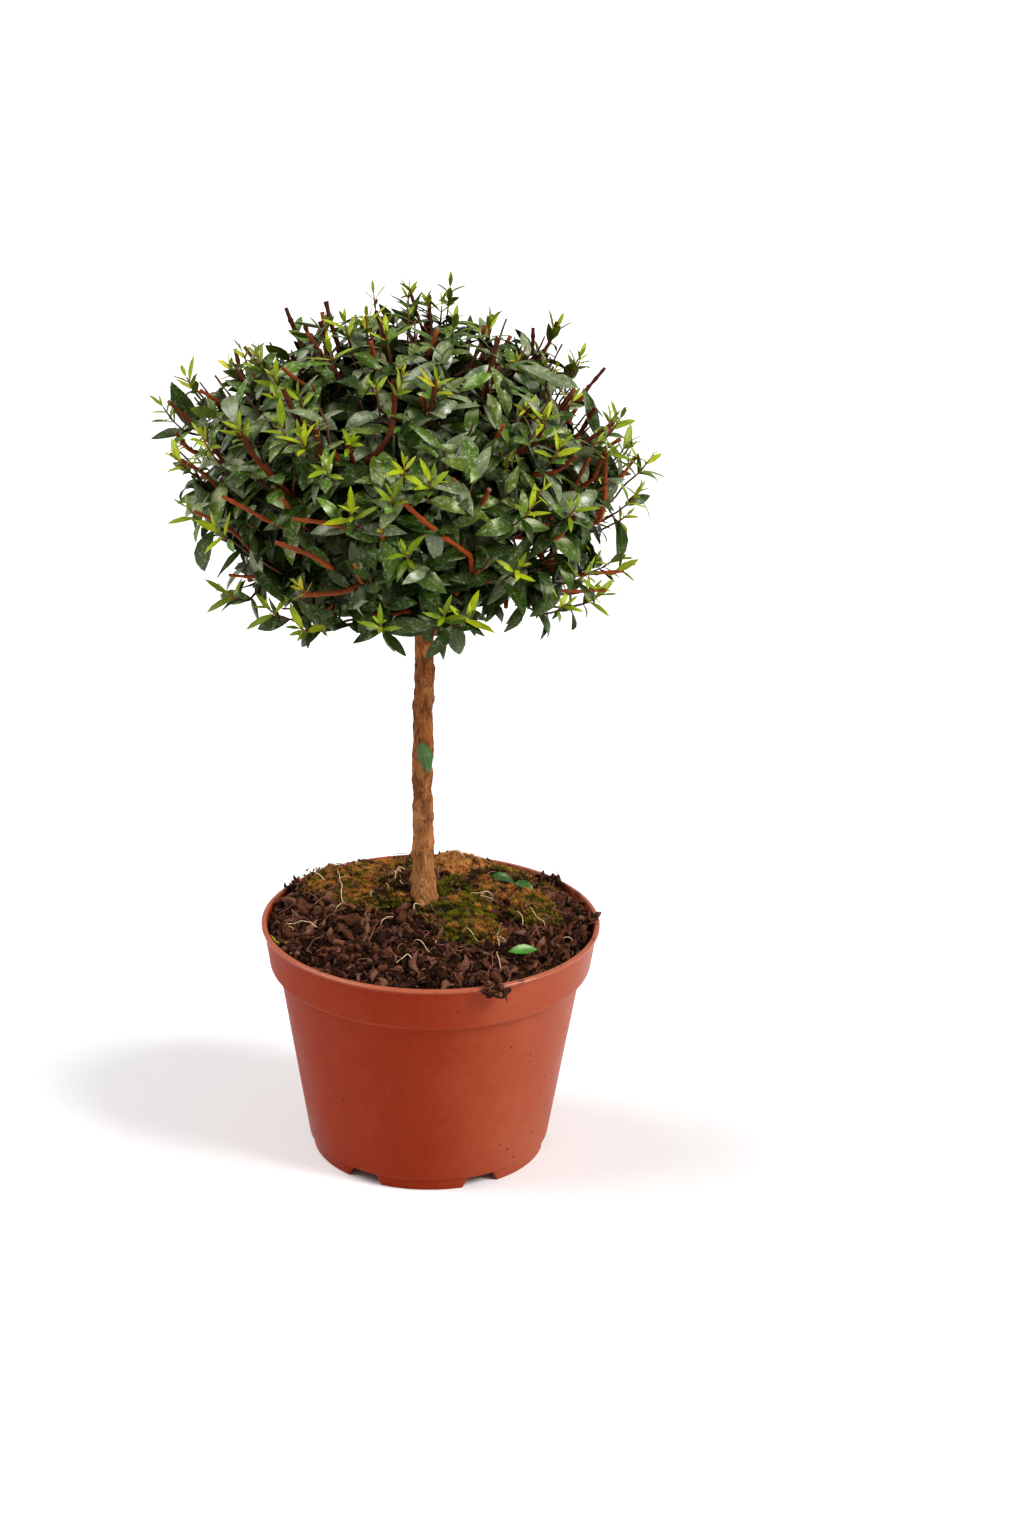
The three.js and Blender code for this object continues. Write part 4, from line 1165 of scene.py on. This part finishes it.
# Cut stems swell at every node, and their last ring closes in a flat cut
def makeCutStems(darkMaterial, redMaterial, cutMaterial):
    steps, sides, spacing = 64, 9, wood["nodeSpacing"]
    limbs = wandering(cutStems["paths"], steps, 16, 0.15, 65)
    fromTip = pathLength(limbs)[:, None] * (1 - np.linspace(0, 1, steps)) - cutStems["bare"][:, None]
    node = np.exp(-((fromTip + spacing / 2) % spacing - spacing / 2) ** 2 / 0.5)
    radii = cutStems["radius"][:, None] * (np.linspace(1.25, 1, steps) + wood["nodeSwell"] * node)
    radii = radii * (1 + 0.06 * ripple(limbs, 2, 63))
    kinds = ("cut_stems_dark", True, darkMaterial), ("cut_stems_red", False, redMaterial)
    for name, dark, material in kinds:
        wanted = cutStems["isDark"] == dark
        points, quads, fans = tubes(limbs[wanted] + fork, radii[wanted], sides)
        foot, cut = fans.reshape(-1, 2, sides, 3).swapaxes(0, 1).reshape(2, -1, 3)
        addPiece(name, points, [[quads, foot], [cut]], [material, cutMaterial], foliageNodes)


# Mottled wood of two colours, which may turn to a third towards the crown's foot
def woodLook(colour, second, share=0.5, low=None):
    def look(shade, place):
        mottle = shade.noise(place, 130, 3)
        fine = shade.noise(place, 1500, 3, 0.7)
        tint = (mottle.step(0.35, 0.65) * share + (fine - 0.5) * 0.4).blend(rgba(colour), rgba(second))
        if low:
            tint = (1 - place.part(2).step(0.238, 0.264)).blend(tint, rgba(low))
        return {"Base Color": tint, "Roughness": 0.55 + fine * 0.2, "Normal": fine.relief(0.5, 0.0002)}
    return look


redShootBark = makeMaterial("redShootBark", woodLook(wood["red"], wood["brown"]), 0.08)
makeBoughs(makeMaterial("boughBark", woodLook(wood["brown"], wood["red"]), 0.3))
makeBranchlets(redShootBark)
makeTwigs(makeMaterial("fineTwigBark", woodLook(wood["brown"], wood["dark"], 0.9), 0.3))
makeCutStems(makeMaterial("darkShootBark", woodLook(wood["dark"], wood["brown"], 0.25, wood["red"]), 0.06),
             redShootBark, makeMaterial("cutWood", woodLook(wood["cut"], wood["brown"], 0.4), 0.3))
print("boughs and twigs made")


# Leaves: closed thin blades with a folded rib, arched back, in opposite pairs that cross by a right angle

leaf = {
    "pairs": 4, "spacing": 6.4, "lengths": (12.0, 16.0, 18.6, 17.8), "opening": (40, 60, 74, 84),
    "lengthSpread": (0.78, 1.18), "footShrink": 0.22, "shownTipShare": 0.75, "widthShare": 0.325,
    "thickness": 0.26, "fold": 0.3, "curl": 0.17, "bend": 1.1, "twist": 0.5, "lightTurn": 0.6,
    # The shade, light and grey shares on the next line deal out painted shade and painted sheen among the
    # leaves
    "shadeDepth": 0.825, "lowShade": 0.9, "topLight": 0.16, "topPaintedSheen": 0.46, "seed": 71,
}
youngLeaf = {
    "lengths": (8.0, 7.6, 5.0), "lengthSpread": (0.7, 1.2), "opening": (58, 41, 21), "widthShare": 0.25,
    "thickness": 0.2, "fold": 0.5, "bend": 0.35, "twist": 0.25, "stem": 4.6, "stemRadii": (0.4, 0.24),
    "share": 0.10, "sideShare": 0.28, "highestRoot": 284, "highestStem": 298, "highestTip": 300,
}

# Base colours dealt out by spray: upper face, underside, and share of the sprays. The pale grey tint is
# partly a painted sheen, and the shade tint is painted shade for leaves deep inside
leafTints = {
    "deep": ((0.016, 0.038, 0.002), (0.034, 0.050, 0.007), 0.36),
    "mid": ((0.044, 0.090, 0.004), (0.078, 0.105, 0.014), 0.30),
    "grey": ((0.132, 0.166, 0.068), (0.15, 0.172, 0.066), 0.24),
    "fresh": ((0.078, 0.152, 0.006), (0.12, 0.17, 0.018), 0.06),
    "olive": ((0.070, 0.108, 0.006), (0.11, 0.13, 0.018), 0.04),
    "shade": ((0.007, 0.013, 0.001), (0.016, 0.022, 0.002), 0.0),
}
shootTints = {
    "lime": ((0.29, 0.35, 0.006), (0.29, 0.33, 0.012), 0.5),
    "yellow": ((0.39, 0.37, 0.010), (0.38, 0.36, 0.02), 0.12),
    "greenish": ((0.165, 0.235, 0.006), (0.19, 0.24, 0.016), 0.38),
}


# Points of one blade as shares along (t), across (s) and face (1 above, -1 under, 0 on the rim), then its
# faces, first the upper ones
def bladeTemplate(rows, columns):
    across = np.linspace(-1, 1, columns)
    t, s, face, tops, unders = [0.0, 1.0], [0.0, 0.0], [0, 0], [], []
    for row in rows:
        first = len(t)
        t += [row] * (2 * columns - 2)
        s += list(across) + list(across[1:-1])
        face += [0] + [1] * (columns - 2) + [0] + [-1] * (columns - 2)
        tops.append(list(range(first, first + columns)))
        unders.append([first] + list(range(first + columns, first + 2 * columns - 2)) + [first + columns - 1])
    cells = range(columns - 1)
    topQuads = [[low[c], low[c + 1], high[c + 1], high[c]]
                for low, high in zip(tops, tops[1:]) for c in cells]
    underQuads = [[low[c + 1], low[c], high[c], high[c + 1]]
                  for low, high in zip(unders, unders[1:]) for c in cells]
    top, topEnd, low, lowEnd = tops[0], tops[-1], unders[0], unders[-1]
    topFans = [[0, top[c + 1], top[c]] for c in cells] + [[1, topEnd[c], topEnd[c + 1]] for c in cells]
    underFans = [[0, low[c], low[c + 1]] for c in cells] + [[1, lowEnd[c + 1], lowEnd[c]] for c in cells]
    return np.array(t), np.array(s), np.array(face), [[topQuads, topFans], [underQuads, underFans]]


# Blades placed: the rib is an arc that bends away from up; half width is a sine of the share along, drawn
# to a point; each half rises from the rib by the fold and rolls over by the curl, and the blade twists
# along its rib
def blades(template, root, along, up, size):
    t, s, face, _ = template
    along = unit(along)
    side = unit(np.cross(along, up))
    up = np.cross(side, along)
    bend = np.maximum(size["bend"], 0.02)[:, None]
    ahead, drop = np.sin(bend * t) / bend, (1 - np.cos(bend * t)) / bend
    length, width = size["length"][:, None], size["width"][:, None] / 2
    forward = np.cos(bend * t)[..., None] * along[:, None] - np.sin(bend * t)[..., None] * up[:, None]
    normal = np.cross(side[:, None], forward)
    turn = (size["twist"][:, None] * t)[..., None]
    across = side[:, None] * np.cos(turn) + normal * np.sin(turn)
    normal = np.cross(across, forward)
    half = width * np.maximum(np.sin(math.pi * t ** 0.92) ** 0.9, 0.09 * (1 - t))
    wave = size["wave"][:, None] * np.sin(9 * t + size["phase"][:, None]) * np.abs(s)
    lift = half * (size["fold"][:, None] * np.abs(s) - size["curl"][:, None] * s ** 2 * 1.6 + wave)
    rib = root[:, None] + (length * ahead)[..., None] * along[:, None]
    rib = rib - (length * drop)[..., None] * up[:, None]
    return rib + (half * s)[..., None] * across + (lift + face * size["thickness"] / 2)[..., None] * normal


# Sizes that every blade needs, from a length for each
def bladeSizes(length, kind, dice, calm=1.0):
    count = len(length)
    return {
        "length": length, "thickness": kind["thickness"],
        "width": length * kind["widthShare"] * dice.uniform(0.85, 1.2, count),
        "bend": kind["bend"] * dice.uniform(0.3, 1.45, count),
        "twist": dice.normal(0, kind["twist"], count) * calm,
        "fold": kind["fold"] * dice.uniform(0.4, 1.4, count),
        "curl": leaf["curl"] * dice.uniform(0.3, 1.6, count),
        "wave": dice.normal(0, 0.07, count) * calm, "phase": dice.uniform(0, 6.28, count),
    }


# Blades as one piece, whose map runs across and along each blade, with a sharp edge round every rim
def addBlades(name, template, points, materials, nodes=()):
    t, s, _, faceSets = template
    count, each = points.shape[:2]
    sets = [manyCopies(points, *group)[1:] for group in faceSets]
    mapUv = np.tile(np.stack([s / 2 + 0.5, t], 1), (count, 1))
    rim = np.tile((np.abs(s) > 0.99) | (np.arange(each) < 2), count)
    addPiece(name, points.reshape(-1, 3), sets, materials, nodes, mapUv, rim)


leafTemplate = bladeTemplate([0.07, 0.2, 0.37, 0.56, 0.75, 0.91], 5)
shootTemplate = bladeTemplate([0.12, 0.4, 0.75], 3)


# Roll and opening of each pair: each is a quarter turn on from the last
def pairAngles(count, opening, rollSpread, openingSpread, dice):
    pairs = len(opening)
    roll = dice.uniform(0, math.pi, (count, 1)) + np.arange(pairs) * math.pi / 2
    roll = roll + dice.normal(0, rollSpread, (count, pairs))
    return roll, np.radians(np.array(opening) + dice.normal(0, openingSpread, (count, pairs)))


# The two blades of each pair on stems at given points: roll turns the pair round its stem, opening parts it
# from the stem, and lightTurn turns the faces up and outward
def opposite(at, along, roll, opening, lightTurn):
    level = unit(np.cross(along, zenith + 1e-3))
    second = np.cross(along, level)
    light = unit(zenith + unit(at) * 0.35) * lightTurn
    cosine, sine = np.cos(opening)[..., None], np.sin(opening)[..., None]
    ways, ups = [], []
    for flip in (0, math.pi):
        out = level * np.cos(roll + flip)[..., None] + second * np.sin(roll + flip)[..., None]
        ways.append(along * cosine + out * sine)
        ups.append(along * sine - out * cosine + light)
    return np.stack([at, at]), np.stack(ways), np.stack(ups)


# Tint numbers of leaves: mostly one to a spray, fresh at the tips and dark further back along the twig, with
# a painted sheen of grey leaves on top and painted shade on leaves deep inside and low down
def dealTints(roots, isShown, isInner, dice):
    number = {name: k for k, name in enumerate(leafTints)}
    shape, pair = roots.shape[:3], np.arange(leaf["pairs"])
    spray = dice.choice(len(number), (shape[1], 1), p=[tint[2] for tint in leafTints.values()])
    swap = dice.uniform(size=shape)
    tints = np.where(swap < 0.15, dice.integers(0, number["shade"], shape), spray)
    for wanted, split, above, below in (((pair == 0) & (swap > 0.68), 0.8, "olive", "fresh"),
                                        ((pair > 1) & (swap > 0.35), 0.74, "mid", "deep"),
                                        (isShown & (pair == 0), 0.4, "fresh", "mid")):
        tints = np.where(wanted, np.where(swap > split, number[above], number[below]), tints)
    height = roots[..., 2] - crownCentre[2]
    high, low = smoothStep(-8, 34, height), smoothStep(14, -34, height)
    # Painted sheen: more leaves turn grey towards the top, where the light falls
    isPaintedSheen = (dice.uniform(size=shape) < leaf["topPaintedSheen"] * high) & (pair > 0)
    tints = np.where(isPaintedSheen, number["grey"], tints)
    # Painted shade: leaves deep inside the crown and on inner twigs take the near-black shade tint, less so
    # towards the top
    isPaintedShade = (outlineValue(roots) < leaf["shadeDepth"] - leaf["topLight"] * high) | isInner
    tints = np.where(isPaintedShade & (dice.uniform(size=shape) < 0.85), number["shade"], tints)
    # Painted shade: leaves low down turn to the deep tint, the lower the more often
    isLowPaintedShade = dice.uniform(size=shape) < leaf["lowShade"] * low
    return np.where(isLowPaintedShade & (tints != number["shade"]), number["deep"], tints)


# Leaves that stay inside the outline and the plant's height, above the crown's foot, off the trunk,
# and out of the gaps
def mayStay(roots, ends, halfWidth, isShown):
    foot = crownCentre[2] - np.where(isShown, crown["shownHang"], crown["hang"])
    stay = outlineValue(ends) < np.where(isShown, crown["shownMost"], crown["leafMost"])
    stay &= (ends[..., 2] + fork[2] < crown["highest"]) & (ends[..., 2] > foot)
    stay &= (isShown & (np.arange(leaf["pairs"]) < 2)) | ~covering(roots, ends, halfWidth)
    return stay & ((ends[..., 2] > 0) | (np.hypot(ends[..., 0], ends[..., 1]) > crown["trunkRoom"] / 2))


# Opposite pairs counted back from the tip of each twig: longer and wider open the further back they sit
def makeLeaves(materials, dice):
    paths, bare = [np.concatenate([leafyTwigs[part], cutStems[part]]) for part in ("paths", "bare")]
    isCut = np.zeros(len(cutStems["paths"]), bool)
    isShown, isInner = [np.concatenate([leafyTwigs[kind], isCut])[:, None] for kind in ("shown", "inner")]
    count, pairs = len(paths), leaf["pairs"]
    place = np.arange(pairs) + dice.uniform(-0.2, 0.2, (count, pairs)) + 0.15
    share = 1 - (bare[:, None] + leaf["spacing"] * place) / pathLength(paths)[:, None]
    at, along = pathPoint(paths, share)
    roll, opening = pairAngles(count, leaf["opening"], 0.2, 9, dice)
    roots, ways, ups = opposite(at, along, roll, opening, leaf["lightTurn"])
    lengths = np.array(leaf["lengths"]) * dice.uniform(*leaf["lengthSpread"], roots.shape[:3])
    lengths *= 1 - leaf["footShrink"] * smoothStep(-24, -40, roots[..., 2] - crownCentre[2])
    tints = dealTints(roots, isShown, isInner, dice)
    lengths *= np.where(isShown & (np.arange(pairs) == 0), leaf["shownTipShare"], 1)
    ends = roots + unit(ways) * lengths[..., None]
    stay = (share > 0.05) & mayStay(roots, ends, lengths * leaf["widthShare"] / 2, isShown)
    roots, ways, ups, lengths, tints = [pile[stay] for pile in (roots, ways, ups, lengths, tints)]
    points = blades(leafTemplate, roots + fork, ways, ups, bladeSizes(lengths, leaf, dice))
    for number, tint in enumerate(leafTints):
        addBlades("leaves_" + tint, leafTemplate, points[tints == number], materials[tint], foliageNodes)
    print(len(roots), "leaves")


# Where young shoots start, which way they grow, and how big they are. They end twigs, and break from
# cut stems just below the cut
def shootStarts(dice):
    shown, paths = leafyTwigs["shown"], leafyTwigs["paths"]
    mayHave = ~leafyTwigs["inner"] & (paths[:, -1, 2] + fork[2] < youngLeaf["highestRoot"])
    has = shown | (mayHave & (dice.uniform(size=len(paths)) < youngLeaf["share"]))
    start, way = [part[:, 0] for part in pathPoint(paths[has], np.ones((has.sum(), 1)))]
    grow = np.where(shown[has], 1.1, dice.uniform(0.6, 1.0, len(start)))
    back = dice.uniform(1.5, 6, (len(cutStems["paths"]), 2))
    at, along = pathPoint(cutStems["paths"], 1 - back / pathLength(cutStems["paths"])[:, None])
    at, along = at.reshape(-1, 3), along.reshape(-1, 3)
    out = unit(np.cross(along, dice.normal(size=along.shape)))
    chosen = dice.uniform(size=len(at)) < youngLeaf["sideShare"]
    way = np.concatenate([unit(way + zenith * 0.3), unit(along * 0.75 + out * 0.65 + zenith * 0.3)[chosen]])
    grow = np.concatenate([grow, dice.uniform(0.55, 0.95, chosen.sum())])
    return np.concatenate([start, at[chosen]]), way, grow


# Young shoots: a short stem with crossed pairs of narrow leaves that shorten and close up towards its tip
def makeShoots(materials, stemMaterial, dice):
    start, way, grow = shootStarts(dice)
    stem = (youngLeaf["stem"] * grow)[:, None] * np.linspace(0, 1, 4)
    paths = start[:, None] + way[:, None] * stem[..., None]
    keep = paths[:, -1, 2] + fork[2] < youngLeaf["highestStem"]
    paths, grow = paths[keep], grow[keep]
    count, pairs = len(paths), len(youngLeaf["lengths"])
    radii = np.linspace(*youngLeaf["stemRadii"], 4)[None] * np.ones((count, 1))
    addLimbs("shoot_stems", paths, radii, 6, stemMaterial)
    at, along = pathPoint(paths, np.tile(np.linspace(0.1, 1, pairs), (count, 1)))
    roll, opening = pairAngles(count, youngLeaf["opening"], 0.15, 8, dice)
    roots, ways, ups = opposite(at, along, roll, opening, 0.1)
    lengths = np.array(youngLeaf["lengths"]) * grow[:, None]
    lengths = lengths * dice.uniform(*youngLeaf["lengthSpread"], roots.shape[:3])
    spray = dice.choice(len(shootTints), (count, 1), p=[tint[2] for tint in shootTints.values()])
    tints = np.where(dice.uniform(size=lengths.shape) < 0.75, spray, list(shootTints).index("greenish"))
    stay = roots[..., 2] + fork[2] + ways[..., 2] * lengths < youngLeaf["highestTip"]
    roots, ways, ups, lengths, tints = [pile[stay] for pile in (roots, ways, ups, lengths, tints)]
    points = blades(shootTemplate, roots + fork, ways, ups, bladeSizes(lengths, youngLeaf, dice))
    for number, tint in enumerate(shootTints):
        addBlades("shoots_" + tint, shootTemplate, points[tints == number], materials[tint], foliageNodes)
    print(count, "young shoots")


driedMark = (0.50, 0.54, 0.45)


# Glossy upper face with a paler rib, faint side veins and dried water marks
def leafLook(colour, marks):
    ribColour = (colour[0] * 1.7 + 0.04, colour[1] * 1.5 + 0.04, colour[2] * 1.4 + 0.01)

    def look(shade, place):
        blade = shade.node("ShaderNodeUVMap", {"uv_map": "bladeMap"})
        across, along = abs(blade.part(0) - 0.5) * 2, blade.part(1)
        rib = 1 - across.step(0.03, 0.14)
        veins = ((along * 11 + across * 5) * 6.283).sine() * 0.5 + 0.5
        mottle, fine = shade.noise(place, 150, 3), shade.noise(place, 900, 3, 0.65)
        tint = mottle.step(0.3, 0.72).blend(rgba(colour, 0.7), rgba(colour, 1.3))
        tint = (rib * 0.4).blend(tint, rgba(ribColour))
        dried = fine.step(0.5, 0.74) * mottle.step(0.36, 0.58) * marks * min(1, colour[1] * 9)
        return {"Base Color": dried.blend(tint, rgba(driedMark)),
                "Roughness": 0.17 + mottle * 0.13 + fine * 0.07,
                "Normal": (veins * 0.25 + rib * 0.3 + fine * 0.3).relief(0.3, 0.0002)}
    return look


# Face and underside for each tint. The darker the face, the less it shines
def leafMaterials(tints, prefix, marks, gloss):
    made = {}
    for name, (upper, under, _) in tints.items():
        title = prefix + name.capitalize()
        sheen, sheenTint = gloss * min(1.2, 0.25 + upper[1] * 7), (1, 1, min(1, 0.6 + upper[2] * 7), 1)
        made[name] = [makeMaterial(title + "Face", leafLook(upper, marks), sheen, sheenTint),
                      makeMaterial(title + "Under", cloudedLook(under, 240, (0.8, 1.15), (0.58, 0.12)), 0.15)]
    return made


leafDice = np.random.default_rng(leaf["seed"])
shootSkins = leafMaterials(shootTints, "shoot", 0.0, 0.2)
makeLeaves(leafMaterials(leafTints, "leaf", 0.9, 0.5), leafDice)
makeShoots(shootSkins, makeMaterial("shootStem", woodLook(wood["olive"], wood["red"], 0.8), 0.3), leafDice)


# Leaves off the plant: root, direction, up, length, width, bend and fold. A root with no height is on the
# soil
strayLeaves = {
    "stuck_leaf": ((-3.7, -4.5, 146.4), (0.25, 0.0, -1.0), (0.0, -1.0, 0.0), 11.6, 5.2, 0.05, -0.4),
    "fallen_leaf_front": ((26.1, -34.6, 85.4), (1.0, 0.35, 0.05), (0, -0.6, 0.75), 10.6, 3.7, 0.35, 0.4),
    "fallen_leaf_back": ((19.0, 15.5), (1.0, 0.1, 0.2), (0.0, -0.3, 0.95), 10.0, 4.8, 1.0, 0.6),
    "fallen_leaf_low": ((27.6, 15.6), (0.85, -0.35, 0.15), (0.1, -0.3, 1.0), 7.6, 4.2, 0.9, 0.6),
}
strayTints = {
    "dark": ((0.022, 0.085, 0.012), (0.05, 0.11, 0.02), 0.5),
    "bright": ((0.052, 0.215, 0.016), (0.09, 0.23, 0.03), 0.5),
}


def makeStrayLeaves(materials):
    dice = np.random.default_rng(leaf["seed"] + 1)
    for name, (root, way, up, length, width, bend, fold) in strayLeaves.items():
        place = np.array(root, float)
        if len(root) == 2:
            place = np.append(place, bedTop(place[0], place[1]) + 2.4)
        size = bladeSizes(np.array([float(length)]), leaf, dice, 0.2)
        size |= {"width": np.array([width]), "bend": np.array([bend]), "fold": np.array([fold]),
                 "curl": np.array([0.05])}
        points = blades(leafTemplate, place[None], unit(np.array([way])), np.array([up]), size)
        addBlades(name, leafTemplate, points, materials["bright" if name == "fallen_leaf_front" else "dark"])


# A shed shoot tip of narrow young leaves beside the wall
def makeShedShoot(materials):
    dice = np.random.default_rng(leaf["seed"] + 2)
    ways = unit(np.array([[-0.6, 0.5, 0.7], [0.7, -0.35, 0.2], [0.35, 0.6, 0.3], [0.9, -0.7, -0.1]]))
    size = bladeSizes(np.array([3.4, 4.2, 2.8, 2.4]), youngLeaf, dice)
    points = blades(shootTemplate, np.tile([-50.3, -18.6, 79.9], (4, 1)), ways, np.tile(zenith, (4, 1)), size)
    addBlades("shed_shoot", shootTemplate, points, materials)


makeStrayLeaves(leafMaterials(strayTints, "stray", 0.3, 0.5))
makeShedShoot(shootSkins["lime"])
print("leaves made")


# Stage, light and camera

# Lights are soft suns: the direction they come from, strength, and how wide they look in degrees
stage = {"floor": (0.93, 0.93, 0.925), "floorSize": 60.0, "sky": 0.3,
         "suns": {"keySun": ((0.80, -0.32, 0.72), 3.4, 27), "skySun": ((-0.60, 0.04, 0.82), 2.35, 46)}}


def floorLook(shade, place):
    paper = shade.noise(place, 60, 2)
    return {"Base Color": paper.blend(rgba(stage["floor"], 0.99), rgba(stage["floor"], 1.01)),
            "Roughness": 0.9 + paper * 0.05}


def makeStage():
    half = stage["floorSize"] / 2
    mesh = bpy.data.meshes.new("floor")
    corners = [(-half, -half, 0), (half, -half, 0), (half, half, 0), (-half, half, 0)]
    mesh.from_pydata(corners, [], [(0, 1, 2, 3)])
    mesh.materials.append(makeMaterial("paperFloor", floorLook, 0.1))
    floor = bpy.data.objects.new("floor", mesh)
    bpy.context.scene.collection.objects.link(floor)


def makeLights():
    world = bpy.data.worlds.new("sky")
    bpy.context.scene.world = world
    world.use_nodes = True
    background = world.node_tree.nodes["Background"]
    background.inputs["Color"].default_value = (1, 1, 1, 1)
    background.inputs["Strength"].default_value = stage["sky"]
    for name, (origin, strength, width) in stage["suns"].items():
        lamp = bpy.data.lights.new(name, "SUN")
        lamp.energy, lamp.angle = strength, math.radians(width)
        holder = bpy.data.objects.new(name, lamp)
        holder.rotation_euler = Vector(origin).to_track_quat("Z", "Y").to_euler()
        bpy.context.scene.collection.objects.link(holder)
    bpy.context.scene.view_settings.view_transform = "Standard"


def makeCamera():
    data = bpy.data.cameras.new("camera")
    data.lens, data.sensor_width, data.sensor_fit = lens["focal"], lens["sensor"], "AUTO"
    data.clip_start, data.clip_end = 0.05, 100
    camera = bpy.data.objects.new("camera", data)
    place = Matrix.Translation([lens[axis] * metresPerMm for axis in "xyz"])
    tilt = Matrix.Rotation(math.radians(90 - lens["down"]), 4, "X")
    camera.matrix_world = place @ tilt @ Matrix.Rotation(math.radians(lens["roll"]), 4, "Z")
    bpy.context.scene.collection.objects.link(camera)
    bpy.context.scene.camera = camera


makeStage()
makeLights()
makeCamera()
